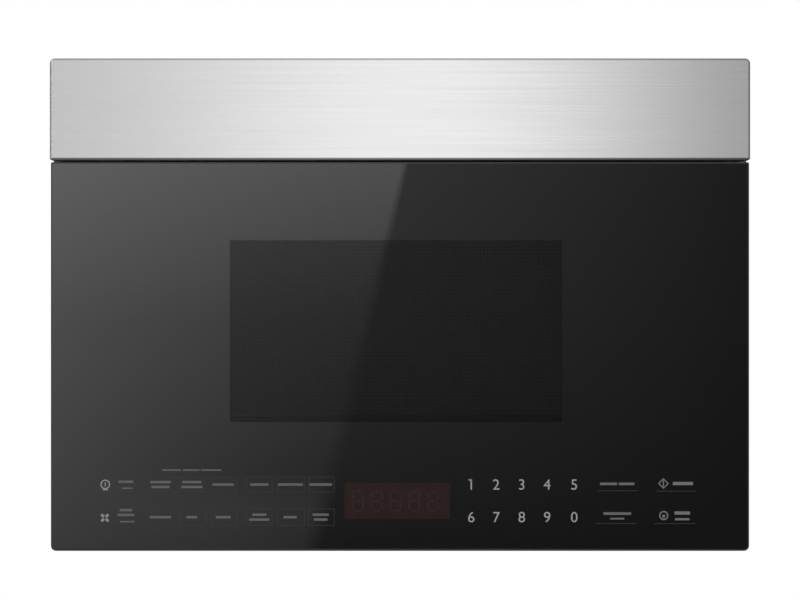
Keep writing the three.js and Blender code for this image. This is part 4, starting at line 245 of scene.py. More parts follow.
def brushed_metal(name, colour, roughness, streak, anisotropy, grain=(5, 900, 900), shade_painted_at_bends=False):
    """Sheet metal brushed along its length, whose reflections spread across the grain."""
    material, tree = new_material(name)
    streaks = noise(tree, brushed_place(tree, grain), 1.0, detail=4.0)
    broad = noise(tree, brushed_place(tree, BROAD_GRAIN), 1.0, detail=2.0)
    both = math_node(tree, "ADD", times(tree, streaks, FINE_SHARE), times(tree, broad, 1 - FINE_SHARE))
    tone = mottled(tree, both, colour, streak)
    # Painted shade: the colour darkens at the band's bends, where the sheet turns away from the front.
    if shade_painted_at_bends:
        turned = node(tree, "Mix", painted_bend_shade(tree), data_type="RGBA")
        feed(tree, turned.inputs[COLOUR_A], tone)
        feed(tree, turned.inputs[COLOUR_B], (*BEND_SHADE_COLOUR, 1))
        tone = turned.outputs[COLOUR_OUT]
    return surfaced(
        material,
        Base_Color=tone,
        Metallic=1.0,
        Roughness=around(tree, streaks, roughness, 0.05),
        Anisotropic=anisotropy,
        Anisotropic_Rotation=0.25,
        Normal=relief(tree, streaks, strength=0.06, distance=0.0002),
        Tangent=node(tree, "CombineXYZ", *BRUSHING).outputs[0],
    )


def zinc_sheet(name, colour):
    """Galvanised sheet, with its large dull crystals and a few scuffs."""
    material, tree = new_material(name)
    tone, gloss, _ = cell_levels(tree, stretched(tree), 170)
    scuffs = noise(tree, stretched(tree, (30, 30, 200)), 1.0, detail=6.0, distortion=0.6)
    return surfaced(
        material,
        Base_Color=mottled(tree, tone, colour, 0.08, FULL_RANGE),
        Metallic=0.9,
        Roughness=spread(tree, math_node(tree, "ADD", gloss, scuffs), 0.4, 0.52, (0.3, 1.6)),
        Normal=relief(tree, scuffs, strength=0.08, distance=0.0004),
    )


def painted_sheet(name, colour, roughness):
    """Stoved paint with a faint orange peel and handling marks."""
    material, tree = new_material(name)
    place = stretched(tree)
    skin = noise(tree, place, 900, detail=2.0)
    marks = noise(tree, place, 40, detail=5.0, distortion=0.4)
    return surfaced(
        material,
        Base_Color=mottled(tree, marks, colour, 0.06),
        Roughness=around(tree, marks, roughness, 0.03),
        Specular_IOR_Level=0.3,
        Normal=relief(tree, skin, strength=0.12, distance=0.0003),
    )


def enamel(name, colour):
    """Sprayed cavity enamel, pale and satin, with fine darker flecks."""
    material, tree = new_material(name)
    place = stretched(tree)
    flecks = noise(tree, place, 1400, detail=1.0)
    drift = noise(tree, place, 7)
    skin = noise(tree, place, 600, detail=2.0)
    return surfaced(
        material,
        Base_Color=mottled(tree, flecks, colour, 0.18, (0.32, 0.5)),
        Roughness=spread(tree, drift, 0.28, 0.4),
        Normal=relief(tree, skin, strength=0.1, distance=0.0002),
    )


def moulded_plastic(name, colour, roughness, texture=0.18):
    """Moulded plastic with a fine eroded texture and slightly uneven gloss."""
    material, tree = new_material(name)
    pits = noise(tree, stretched(tree), 2200, detail=2.0)
    flow = noise(tree, stretched(tree, (14, 14, 40)), 1.0, distortion=0.5)
    return surfaced(
        material,
        Base_Color=mottled(tree, flow, colour, 0.09),
        Roughness=around(tree, flow, roughness, 0.07),
        Normal=relief(tree, pits, strength=texture, distance=0.00015),
    )


def cast_metal(name, colour):
    """Cast housing metal, stained and lumpy."""
    material, tree = new_material(name)
    place = stretched(tree)
    lumps = noise(tree, place, 420, detail=5.0)
    stain = noise(tree, place, 24, detail=4.0)
    return surfaced(
        material,
        Base_Color=mottled(tree, stain, colour, 0.22),
        Metallic=0.7,
        Roughness=spread(tree, lumps, 0.45, 0.67),
        Normal=relief(tree, lumps, strength=0.25, distance=0.0004),
    )


def laminated_core(name):
    """Stacked steel sheets of a transformer, one line for each sheet."""
    material, tree = new_material(name)
    sheets = noise(tree, stretched(tree, (2, 1600, 2)), 1.0, detail=1.0)
    stain = noise(tree, stretched(tree), 30, detail=4.0)
    return surfaced(
        material,
        Base_Color=shade_between(tree, stain, (0.1, 0.1, 0.11), (0.2, 0.2, 0.21)),
        Metallic=0.8,
        Roughness=spread(tree, sheets, 0.4, 0.6),
        Normal=relief(tree, sheets, strength=0.5, distance=0.0004),
    )


def enamelled_winding(name):
    """Copper wire under amber varnish, turn beside turn."""
    material, tree = new_material(name)
    place = stretched(tree)
    wave = node(tree, "TexWave", place, bands_direction="Z", Scale=190, Distortion=0.6, Detail_Scale=3.0)
    turns = wave.outputs["Fac"]
    return surfaced(
        material,
        Base_Color=shade_between(tree, turns, (0.2, 0.07, 0.03), (0.5, 0.2, 0.09)),
        Metallic=0.6,
        Roughness=spread(tree, turns, 0.25, 0.5, FULL_RANGE),
        Normal=relief(tree, turns, strength=0.8, distance=0.0006),
    )


def circuit_board(name, colour):
    """Board laminate with a woven ground and rows of solder pads."""
    material, tree = new_material(name)
    weave = noise(tree, stretched(tree, (800, 800, 800)), 1.0, detail=1.0)
    pads = cells(tree, stretched(tree), 240)
    pad_rim = (0.18, 0.24)
    return surfaced(
        material,
        Base_Color=mottled(tree, weave, colour, 0.2),
        Metallic=spread(tree, pads, 0.8, 0.0, pad_rim),
        Roughness=spread(tree, pads, 0.25, 0.55, pad_rim),
        Normal=relief(tree, weave, strength=0.1, distance=0.0002),
    )


def carbon_grains(name):
    """Activated carbon granules behind the filter's frame."""
    material, tree = new_material(name)
    place = stretched(tree)
    grains = cells(tree, place, 420)
    return surfaced(
        material,
        Base_Color=shade_between(tree, grains, (0.012, 0.012, 0.013), (0.05, 0.05, 0.052)),
        Roughness=spread(tree, noise(tree, place, 300), 0.5, 0.85),
        Normal=relief(tree, grains, strength=0.9, distance=0.0015),
    )


def clear_glass(name, tint, roughness):
    """Pressed glass with faint flow lines and finger marks."""
    material, tree = new_material(name)
    place = stretched(tree)
    flow = noise(tree, place, 30, detail=2.0)
    smears = noise(tree, place, 14, detail=6.0, distortion=0.8)
    return surfaced(
        material,
        Base_Color=shade_between(tree, flow, [c * 0.98 for c in tint], tint),
        Roughness=spread(tree, smears, roughness, roughness + 0.05, (0.45, 0.75)),
        IOR=1.5,
        Transmission_Weight=1.0,
        Normal=relief(tree, flow, strength=0.02, distance=0.0004),
    )


def backed_glass(name, colour, reflectance):
    """Glass printed black from behind: a deep gloss over an almost black ground."""
    material, tree = new_material(name)
    place = stretched(tree)
    smears = noise(tree, place, 9, detail=6.0, distortion=0.8)
    ground = noise(tree, place, 260)
    return surfaced(
        material,
        Base_Color=mottled(tree, ground, colour, 0.12),
        Roughness=spread(tree, smears, 0.35, 0.55, (0.45, 0.8)),
        Specular_IOR_Level=0.0,
        **clear_coat(reflectance),
    )


def tinted_window(name, tint, reflectance):
    """The clear part of the door's glass: the oven barely shows, and least along the window's foot, where the
    tint is darkened as painted shade.
    """
    material, tree = new_material(name)
    place = stretched(tree)
    smears = noise(tree, place, 11, detail=6.0, distortion=0.8)
    tone = mottled(tree, noise(tree, place, 40, detail=2.0), tint, 0.06)
    # Painted shade: the tint darkens towards the window's foot.
    foot = spread(tree, split(tree, place)[2], FOOT_SHADE, 1.0, WINDOW_FOOT)
    graded = node(tree, "VectorMath", tone, operation="SCALE", Scale=foot)
    return surfaced(
        material,
        Base_Color=graded.outputs[0],
        Roughness=spread(tree, smears, 0.02, 0.07, (0.45, 0.8)),
        IOR=1.05,
        Transmission_Weight=1.0,
        **clear_coat(reflectance),
    )


def ceramic_ink(name, colour, shine=0.5):
    """Fired ink, matt and very slightly uneven."""
    material, tree = new_material(name)
    grain = noise(tree, stretched(tree), 3000, detail=2.0)
    return surfaced(
        material,
        Base_Color=shade_between(tree, grain, [c * 0.85 for c in colour], colour),
        Roughness=spread(tree, grain, 0.45, 0.65),
        Specular_IOR_Level=shine,
        Normal=relief(tree, grain, strength=0.05, distance=0.0001),
    )


def mica_sheet(name):
    """Mica: flaky, pale and faintly golden."""
    material, tree = new_material(name)
    tone, height, _ = cell_levels(tree, stretched(tree, (1, 60, 90)), 1.0)
    return surfaced(
        material,
        Base_Color=shade_between(tree, tone, (0.36, 0.3, 0.2), (0.56, 0.5, 0.38), FULL_RANGE),
        Roughness=spread(tree, noise(tree, stretched(tree), 60), 0.3, 0.55),
        Normal=relief(tree, height, strength=0.15, distance=0.0004),
    )


FINISHES = {
    "stainless": brushed_metal("brushed_stainless", grey(0.82), 0.3, 0.035, 1.0, shade_painted_at_bends=True),
    "case_paint": painted_sheet("case_paint", (0.03, 0.03, 0.032), 0.5),
    "zinc": zinc_sheet("zinc_plate", (0.54, 0.56, 0.57)),
    "enamel": enamel("cavity_enamel", (0.5, 0.49, 0.46)),
    "dark_plastic": moulded_plastic("dark_plastic", (0.018, 0.018, 0.019), 0.42),
    "frame_plastic": moulded_plastic("frame_plastic", (0.014, 0.014, 0.015), 0.35, 0.1),
    "pale_plastic": moulded_plastic("pale_plastic", (0.62, 0.6, 0.54), 0.42),
    "panel_paint": painted_sheet("panel_paint", (0.04, 0.04, 0.043), 0.35),
    "mesh": brushed_metal("mesh_aluminium", grey(0.62), 0.38, 0.08, 0.2, grain=(300, 300, 300)),
    "motor": cast_metal("motor_casting", (0.12, 0.125, 0.13)),
    "core": laminated_core("laminated_core"),
    "copper": enamelled_winding("varnished_copper"),
    "board": circuit_board("board_laminate", (0.2, 0.13, 0.04)),
    "carbon": carbon_grains("carbon_grains"),
    "bolt": brushed_metal("bolt_steel", grey(0.5), 0.35, 0.1, 0.0, grain=(700, 700, 700)),
    "clear_glass": clear_glass("clear_glass", (0.93, 0.96, 0.95), 0.01),
    "lens": clear_glass("lamp_lens", (0.9, 0.9, 0.88), 0.25),
    "lamp_glass": clear_glass("lamp_glass", (0.95, 0.93, 0.88), 0.02),
    "back_printed": backed_glass("back_printed_glass", grey(0.0045), 0.08),
    "display": backed_glass("display_filter", (0.0155, 0.0073, 0.0072), 0.075),
    "window": tinted_window("window_tint", grey(0.13), 0.04),
    "ink": ceramic_ink("printed_white", grey(0.205)),
    "faint_ink": ceramic_ink("printed_grey", grey(0.07)),
    "dim_ink": ceramic_ink("printed_dim", grey(0.17)),
    "soft_ink": ceramic_ink("printed_soft", grey(0.1)),
    "dull_ink": ceramic_ink("printed_dull", grey(0.08)),
    "outline_ink": ceramic_ink("printed_outline", grey(0.013)),
    "segment": ceramic_ink("unlit_segment", (0.019, 0.0115, 0.0115), shine=0.1),
    "screen_paint": painted_sheet("screen_paint", (0.045, 0.045, 0.047), 0.5),
    "mica": mica_sheet("mica"),
}

DRESSED = {
    "stainless": ["fascia_band"],
    "case_paint": ["cabinet_wrap", "base_pan"],
    "zinc": [
        "rear_plate", "blower_cover_plate", "waveguide", "turntable_motor", "turntable_shaft",
        "hv_capacitor", "capacitor_clamp", "blower_shaft", "blower_housing_left", "blower_housing_right",
        "hinge_bracket_lower", "hinge_bracket_upper", "latch_spring", "lamp_cover",
    ],
    "enamel": ["oven_cavity", "front_plate"],
    "dark_plastic": [
        "vent_grille", "cord_grommet", "thermal_cutout", "fan_shroud", "hv_diode", "blower_wheel_left",
        "blower_wheel_right", "choke_cover", "primary_switch", "secondary_switch", "monitor_switch",
    ],
    "frame_plastic": ["door_frame"],
    "pale_plastic": [
        "fan_blade", "turntable_coupler", "roller_ring", "roller_1", "roller_2", "roller_3",
        "latch_bar", "latch_board",
    ],
    "panel_paint": ["door_panel"],
    "screen_paint": ["door_screen"],
    "mesh": ["grease_filter_left", "grease_filter_right", "magnetron"],
    "motor": ["fan_motor", "blower_motor"],
    "core": ["transformer_core"],
    "copper": ["transformer_windings"],
    "board": ["power_board", "noise_filter_board", "touch_board"],
    "carbon": ["charcoal_filter"],
    "clear_glass": ["glass_tray", "inner_window"],
    "lens": ["cooktop_lamp_lens"],
    "lamp_glass": ["cooktop_lamp", "cavity_lamp"],
    "back_printed": ["door_glass", "display_module"],
    "mica": ["waveguide_cover"],
}


def dress_solids():
    for finish, names in DRESSED.items():
        for name in names:
            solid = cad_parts[name]
            if not solid.material_slots:
                solid.data.materials.append(FINISHES[finish])
            for slot in solid.material_slots:
                slot.material = FINISHES[finish]


# -------------------- modelling by hand
NEAR = 1e-5
TURNS = {"y": (math.pi / 2, 0, 0), "z": (0, 0, 0)}


def select_only(piece):
    bpy.ops.object.select_all(action="DESELECT")
    piece.select_set(True)
    bpy.context.view_layer.objects.active = piece


def removed(piece):
    select_only(piece)
    bpy.ops.object.delete()


def settled(name):
    """Names the piece just added and moves its place into its mesh."""
    piece = bpy.context.object
    piece.name = name
    select_only(piece)
    bpy.ops.object.transform_apply(location=True, rotation=True, scale=True)
    return piece


def block(name, low, high):
    low, high = Vector(low), Vector(high)
    bpy.ops.mesh.primitive_cube_add(size=1, location=(low + high) / 2, scale=high - low)
    return settled(name)


def drum(name, centre, radius, length, axis="z", sides=32):
    bpy.ops.mesh.primitive_cylinder_add(
        vertices=sides, radius=radius, depth=length, location=centre, rotation=TURNS[axis],
    )
    return settled(name)


def choose(piece, kind, test):
    """Opens the piece for editing with only what passes the test selected."""
    select_only(piece)
    bpy.ops.object.mode_set(mode="EDIT")
    bpy.ops.mesh.select_mode(type=kind)
    bpy.ops.mesh.select_all(action="DESELECT")
    mesh = bmesh.from_edit_mesh(piece.data)
    for element in {"EDGE": mesh.edges, "FACE": mesh.faces}[kind]:
        if test(element):
            element.select_set(True)
    bmesh.update_edit_mesh(piece.data)


def close_edit():
    bpy.ops.object.mode_set(mode="OBJECT")


def runs_through(edge):
    """Whether an edge of a flat piece runs from its face straight to its back."""
    run = edge.verts[1].co - edge.verts[0].co
    return abs(run.y) > 0.999 * run.length


def every(element):
    return True


def lies_at(axis, value):
    """A test for elements whose every corner lies at one place on an axis."""
    index = "xyz".index(axis)
    return lambda element: all(abs(v.co[index] - value) < NEAR for v in element.verts)


def bevel(piece, width, segments, test):
    choose(piece, "EDGE", test)
    bpy.ops.mesh.bevel(offset=width, offset_type="OFFSET", segments=segments, affect="EDGES")
    close_edit()
    return piece


def slice_at(piece, axis, *places):
    """Cuts the faces of a piece along planes across an axis, without parting it."""
    normal = [0, 0, 0]
    normal["xyz".index(axis)] = 1
    for place in places:
        choose(piece, "FACE", every)
        bpy.ops.mesh.bisect(plane_co=[place * n for n in normal], plane_no=normal)
        close_edit()
    return piece


def modified(piece, kind, **settings):
    """Adds a modifier with these settings to a piece and applies it."""
    select_only(piece)
    bpy.ops.object.modifier_add(type=kind)
    modifier = piece.modifiers[-1]
    for key, value in settings.items():
        setattr(modifier, key, value)
    bpy.ops.object.modifier_apply(modifier=modifier.name)
    return piece


def smooth(piece, degrees=32):
    """Rounds the shading of bends while the flat faces beside them stay flat."""
    select_only(piece)
    bpy.ops.object.shade_smooth_by_angle(angle=math.radians(degrees))
    return modified(piece, "WEIGHTED_NORMAL", keep_sharp=True)


def wear(piece, *finishes):
    """Gives a new piece its finishes; the first covers every face."""
    piece.data.materials.clear()
    for finish in finishes:
        piece.data.materials.append(FINISHES[finish])
    return piece


def joined(name, pieces):
    select_only(pieces[0])
    for piece in pieces:
        piece.select_set(True)
    bpy.ops.object.join()
    pieces[0].name = name
    return pieces[0]


def finished(piece, body, slot, *finishes):
    """Hands a piece over to its body and, unless it already wears them, gives it its finishes; the slot is
    not used.
    """
    if finishes:
        wear(piece, *finishes)
    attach(piece, body)
    return piece


# -------------------- the door's glass
INK = 0.0001
GLASS_FACE = FRONT + INK
GLASS_BACK = -0.197
GLASS_OVERHANG = 0.0009
GLASS_RISE = 0.0006
LOWER_CORNER = 0.0033
UPPER_CORNER = 0.0009
FACE_EDGE = 0.0003
WINDOW_X = (-0.1472, 0.1402)
WINDOW_Z = (0.1115, 0.2687)
DISPLAY_X = (-0.0482, 0.0432)
DISPLAY_Z = (0.0277, 0.0587)


def within(place, wide, tall):
    return wide[0] < place.x < wide[1] and tall[0] < place.z < tall[1]


def door_glass():
    """The sheet of glass with rounded corners, and its window and display as faces of their own."""
    low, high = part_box("door_glass")
    low.x -= GLASS_OVERHANG
    high.x += GLASS_OVERHANG
    high.z += GLASS_RISE
    glass = block("front_glass", (low.x, GLASS_FACE, low.z), (high.x, GLASS_BACK, high.z))
    bevel(glass, LOWER_CORNER, 6, lambda edge: runs_through(edge) and edge.verts[0].co.z < WINDOW_Z[0])
    bevel(glass, UPPER_CORNER, 3, lambda edge: runs_through(edge) and edge.verts[0].co.z > WINDOW_Z[1])
    bevel(glass, FACE_EDGE, 3, lies_at("y", GLASS_FACE))
    slice_at(glass, "x", *WINDOW_X, *DISPLAY_X)
    slice_at(glass, "z", *WINDOW_Z, *DISPLAY_Z)
    wear(glass, "back_printed", "window", "display")
    for face in glass.data.polygons:
        if within(face.center, WINDOW_X, WINDOW_Z):
            face.material_index = 1
        if within(face.center, DISPLAY_X, DISPLAY_Z):
            face.material_index = 2
    finished(smooth(glass), "door", "door_glass")
    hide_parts("door_glass")


# -------------------- what is printed on the glass
# Bars stand where the real keys have words. A bar is its middle's x and z, its width and its height;
# the flag's middle is counted from that of its key. A hood label has a width for each of its bars.
SYMBOL_LINE = 0.0011
DIGIT_SHARE = 0.7
NUMERAL_ROWS = ("12345", "67890")
NUMERAL_X = (0.0616, 0.0832, 0.1053, 0.1273, 0.1507)
NUMERAL_HEIGHT = 0.0091
NUMERAL_DROP = 0.0005
FLAG = (-0.0011, 0.0029, 0.0028, 0.001)
FLAG_HINGE = 0.0031
FLAG_TURN = 38

KEY_ROWS = (0.0574, 0.0292)
KEY_X = (-0.205, -0.1791, -0.1525, -0.1217, -0.0942, -0.068)
KEY_WIDTHS = (0.026, 0.0222, 0.0226, 0.0226, 0.0235, 0.0226)
KEY_HEIGHTS = (0.0132, 0.0146)
KEY_LINE = 0.0004
LABEL_X = (-0.2071, -0.1801, -0.153, -0.1217, -0.095, -0.0686)
UPPER_LABELS = ((0.018, 0.0158), (0.0164, 0.0184), (0.0184,), (0.0156,), (0.0222,), (0.0196,))
LOWER_LABELS = ((0.0184,), (0.0092,), (0.0128,), (0.0122, 0.0176), (0.0114,), (0.014, 0.0118))
LABEL_GAP = 0.0042
LABEL_HEIGHT = 0.0021
SMALL_LABEL = 0.0013
HEADER = ((-0.1976, 0.016), (-0.1806, 0.0145), (-0.1634, 0.0175))
HEADER_Z = 0.0699

HOOD_LABELS = (
    (-0.237, 0.0598, (0.0128,), LABEL_HEIGHT),
    (-0.236, 0.0542, (0.0095,), SMALL_LABEL),
    (-0.237, 0.0332, (0.011, 0.0145), LABEL_HEIGHT),
    (-0.236, 0.0253, (0.0125,), SMALL_LABEL),
)
BULB = (-0.2549, 0.0575)
BULB_RADIUS = 0.0042
BULB_BARS = ((-0.2549, 0.053, 0.0045, 0.0012), (-0.2549, 0.0576, 0.0009, 0.0038))
FAN = (-0.2553, 0.0286)
FAN_BLADE = (-0.2526, 0.0286, 0.0034, 0.0024)
BLADE_CORNER = 0.0009
BLADE_TURNS = (45, 135, 225, 315)

UNDERLINES = (
    (0.1882, 0.0521, 0.0355, 0.0005),
    (0.1869, 0.0236, 0.0355, 0.0005),
    (0.2383, 0.0517, 0.0347, 0.0005),
    (0.2375, 0.0236, 0.036, 0.0005),
)
TIMER_BARS = (
    (0.1804, 0.058, 0.0148, 0.0022),
    (0.196, 0.058, 0.0135, 0.0022),
    (0.1879, 0.0323, 0.024, 0.0022),
    (0.1879, 0.0279, 0.0122, 0.0015),
)
START = (0.2278, 0.0583)
DIAMOND = 0.0066
DIAMOND_LINE = 0.0009
START_BARS = ((0.2278, 0.0583, 0.0009, 0.0062), (0.2447, 0.0583, 0.0175, 0.0028))
STOP = (0.2281, 0.0306)
STOP_RADIUS = 0.004
STOP_BARS = (
    (0.2281, 0.03, 0.0022, 0.0026), (0.2441, 0.0328, 0.0135, 0.0028), (0.2441, 0.0274, 0.0125, 0.0018),
)

CHARACTER_X = (-0.0364, -0.0202, -0.004, 0.0122, 0.0284)
CHARACTER_Z = 0.0432
CHARACTER_WIDTH = 0.0085
CHARACTER_HEIGHT = 0.0165
STROKE = 0.0017
COLON_X = 0.0041
COLON_DOT = 0.0013
COLON_RISE = 0.0035


def bar(x, z, width, height):
    return block("bar", (x - width / 2, FRONT, z - height / 2), (x + width / 2, GLASS_FACE, z + height / 2))


def hollowed(piece, width):
    """Leaves only the outline of a flat printed shape, as a line of this width."""
    choose(piece, "FACE", lambda face: abs(face.normal.y) > 0.9)
    bpy.ops.mesh.inset(thickness=width, depth=0, use_individual=True)
    bpy.ops.mesh.bridge_edge_loops()
    close_edit()
    return piece


def ring(centre, radius):
    x, z = centre
    return hollowed(drum("ring", (x, (FRONT + GLASS_FACE) / 2, z), radius, INK, "y"), SYMBOL_LINE)


def turned_about(piece, centre, degrees):
    """Turns a flat printed shape in the plane of the glass."""
    x, z = centre
    choose(piece, "FACE", every)
    bpy.ops.transform.rotate(
        value=-math.radians(degrees), orient_axis="Y", orient_type="GLOBAL",
        center_override=(x, GLASS_FACE, z),
    )
    close_edit()
    return piece


def printed(name, marks, ink):
    finished(joined(name, marks), "door", "door_glass", ink)


def numeral(text, x, z):
    bpy.ops.object.text_add(location=(x, GLASS_FACE - INK / 2, z), rotation=(math.pi / 2, 0, 0))
    letter = bpy.context.object.data
    letter.body = text
    letter.size = NUMERAL_HEIGHT / DIGIT_SHARE
    letter.align_x = letter.align_y = "CENTER"
    letter.extrude = INK / 2
    letter.resolution_u = 6
    bpy.ops.object.convert(target="MESH")
    return settled("numeral")


def numeral_keys():
    """The digits, and the flag that the font leaves off its 1."""
    marks = []
    for row, digits in zip(KEY_ROWS, NUMERAL_ROWS):
        marks += [numeral(digit, x, row - NUMERAL_DROP) for digit, x in zip(digits, NUMERAL_X)]
    x, z = NUMERAL_X[0], KEY_ROWS[0]
    flag = bar(x + FLAG[0], z + FLAG[1], *FLAG[2:])
    marks.append(turned_about(flag, (x, z + FLAG_HINGE), FLAG_TURN))
    printed("key_numerals", marks, "ink")


def label(x, z, widths, height=LABEL_HEIGHT):
    """Plain bars where a key has its words, one for each line."""
    top = z + LABEL_GAP * (len(widths) - 1) / 2
    return [bar(x, top - LABEL_GAP * row, width, height) for row, width in enumerate(widths)]


def menu_keys():
    frames = []
    for row, height in zip(KEY_ROWS, KEY_HEIGHTS):
        frames += [hollowed(bar(x, row, width, height), KEY_LINE) for x, width in zip(KEY_X, KEY_WIDTHS)]
    printed("key_outlines", frames, "outline_ink")
    bars = []
    for row, labels in zip(KEY_ROWS, (UPPER_LABELS, LOWER_LABELS)):
        for x, widths in zip(LABEL_X, labels):
            bars += label(x, row, widths)
    bars += [bar(x, HEADER_Z, width, SMALL_LABEL) for x, width in HEADER]
    printed("key_labels", bars, "faint_ink")


def hood_keys():
    """The lamp's and the fan's touch places, each a symbol with its bars."""
    bars = []
    for place in HOOD_LABELS:
        bars += label(*place)
    printed("hood_labels", bars, "faint_ink")
    marks = [ring(BULB, BULB_RADIUS)] + [bar(*place) for place in BULB_BARS]
    for turn in BLADE_TURNS:
        blade = bevel(bar(*FAN_BLADE), BLADE_CORNER, 3, runs_through)
        marks.append(turned_about(blade, FAN, turn))
    printed("hood_symbols", marks, "dim_ink")


def control_keys():
    """The timer's bars, the diamond for start and the ring for stop."""
    printed("key_underlines", [bar(*place) for place in UNDERLINES], "outline_ink")
    printed("timer_labels", [bar(*place) for place in TIMER_BARS], "dull_ink")
    diamond = hollowed(bar(*START, DIAMOND, DIAMOND), DIAMOND_LINE)
    marks = [turned_about(diamond, START, 45)] + [bar(*place) for place in START_BARS]
    marks += [ring(STOP, STOP_RADIUS)] + [bar(*place) for place in STOP_BARS]
    printed("start_and_stop", marks, "soft_ink")


def display_characters():
    """Five unlit seven-segment characters and a colon, which barely show on the display's red filter."""
    segments = []
    for x in CHARACTER_X:
        for level in (-1, 0, 1):
            z = CHARACTER_Z + level * CHARACTER_HEIGHT / 2
            segments.append(bar(x, z, CHARACTER_WIDTH - STROKE, STROKE))
        for side in (-1, 1):
            for level in (-1, 1):
                z = CHARACTER_Z + level * CHARACTER_HEIGHT / 4
                segments.append(bar(x + side * CHARACTER_WIDTH / 2, z, STROKE, CHARACTER_HEIGHT / 2 - STROKE))
    for level in (-1, 1):
        segments.append(bar(COLON_X, CHARACTER_Z + level * COLON_RISE, COLON_DOT, COLON_DOT))
    finished(joined("display_characters", segments), "door", "display_dark", "segment")


# -------------------- the door's perforated screen
SCREEN_PITCH = 0.0032
SCREEN_BAR = 0.0011
SCREEN_RIM = 0.006


def perforated_screen():
    """The shield behind the window: thin steel with a fine square pattern of holes and a plain rim."""
    low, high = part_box("door_screen")
    size, middle = high - low, (low + high) / 2
    bpy.ops.mesh.primitive_grid_add(
        x_subdivisions=round(size.x / SCREEN_PITCH), y_subdivisions=round(size.z / SCREEN_PITCH), size=1,
        location=(middle.x, low.y, middle.z), rotation=(math.pi / 2, 0, 0),
    )
    bpy.context.object.scale = (size.x, size.z, 1)
    screen = settled("perforated_screen")
    wide = (low.x + SCREEN_RIM, high.x - SCREEN_RIM)
    tall = (low.z + SCREEN_RIM, high.z - SCREEN_RIM)
    choose(screen, "FACE", lambda face: within(face.calc_center_median(), wide, tall))
    bpy.ops.mesh.inset(thickness=SCREEN_BAR / 2, use_individual=True)
    bpy.ops.mesh.delete(type="FACE")
    close_edit()
    modified(screen, "SOLIDIFY", thickness=size.y, offset=-1)
    finished(screen, "door", "panel_steel", "screen_paint")
    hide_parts("door_screen")


# -------------------- the latch's spring
SPRING_AXIS = (0.262, -0.168)
SPRING_ENDS = (0.2883, 0.3063)
SPRING_TURNS = 5
SPRING_STEPS = 20
SPRING_COIL = 0.003
SPRING_WIRE = 0.0006
WIRE_SIDES = 8


def coil_spring():
    """The spring over the latch bar: round wire wound up from the bar to its seat in the door."""
    low, high = SPRING_ENDS
    bpy.ops.mesh.primitive_circle_add(
        vertices=WIRE_SIDES, radius=SPRING_WIRE, location=(SPRING_COIL, 0, 0), rotation=(math.pi / 2, 0, 0),
    )
    spring = modified(
        settled("coil_spring"), "SCREW", axis="Z", iterations=SPRING_TURNS,
        screw_offset=(high - low - 2 * SPRING_WIRE) / SPRING_TURNS,
        steps=SPRING_STEPS, render_steps=SPRING_STEPS, use_smooth_shade=True,
    )
    choose(spring, "EDGE", lambda edge: edge.is_boundary)
    bpy.ops.mesh.edge_face_add()
    bpy.ops.mesh.select_all(action="SELECT")
    bpy.ops.transform.translate(value=(*SPRING_AXIS, low + SPRING_WIRE))
    bpy.ops.mesh.normals_make_consistent(inside=False)
    close_edit()
    finished(spring, "door", "zinc_sheet", "bolt")
    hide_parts("latch_spring")
    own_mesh(spring)


# -------------------- the grease filters' mesh
FILTER_INSIDE = (0.1082, 0.2218)
FILTER_LONG = (-0.0138, 0.1598)
FILTER_LAYERS = ((0.0024, 6), (0.0033, 90))
STRAND_CELL = 0.0052
STRAND_SQUEEZE = 0.55
STRAND = 0.0007
UNCUT_MESH = 0.36


def stretched_mesh(level, turn, wide):
    """One layer of expanded aluminium: diamonds drawn out along one way, trimmed to the frame."""
    centre = Vector((sum(wide) / 2, sum(FILTER_LONG) / 2, level))
    count = round(UNCUT_MESH / STRAND_CELL)
    bpy.ops.mesh.primitive_grid_add(
        x_subdivisions=count, y_subdivisions=count, size=UNCUT_MESH, rotation=(0, 0, math.pi / 4),
    )
    layer = settled("layer")
    choose(layer, "FACE", every)
    bpy.ops.transform.resize(value=(STRAND_SQUEEZE, 1, 1), center_override=(0, 0, 0))
    bpy.ops.transform.rotate(value=math.radians(turn), orient_axis="Z", center_override=(0, 0, 0))
    bpy.ops.transform.translate(value=centre)
    for axis, ends in ((0, wide), (1, FILTER_LONG)):
        for end, outward in zip(ends, (-1, 1)):
            bpy.ops.mesh.select_all(action="SELECT")
            place, normal = [0, 0, 0], [0, 0, 0]
            place[axis], normal[axis] = end, outward
            bpy.ops.mesh.bisect(plane_co=place, plane_no=normal, clear_outer=True)
    close_edit()
    return modified(layer, "WIREFRAME", thickness=STRAND, use_even_offset=False)


def filter_meshes():
    for name, body, side in (("left", "left_filter", -1), ("right", "right_filter", 1)):
        wide = sorted(side * edge for edge in FILTER_INSIDE)
        layers = [stretched_mesh(level, turn, wide) for level, turn in FILTER_LAYERS]
        finished(joined(f"filter_mesh_{name}", layers), body, "mesh_aluminium", "mesh")


# -------------------- the turntable's glass
TRAY_UNDER = 0.0816
TRAY_THICK = 0.0045
TRAY_RISE = 0.009
TRAY_SLOPE = 0.026
TRAY_LIP = 0.004
TRAY_BEND = 0.0013
LUG_TURNS = (60, 180, 300)
LUG_REACH = 0.0185
LUG_HALF = (0.0055, 0.005)
LUG_EDGE = 0.0012


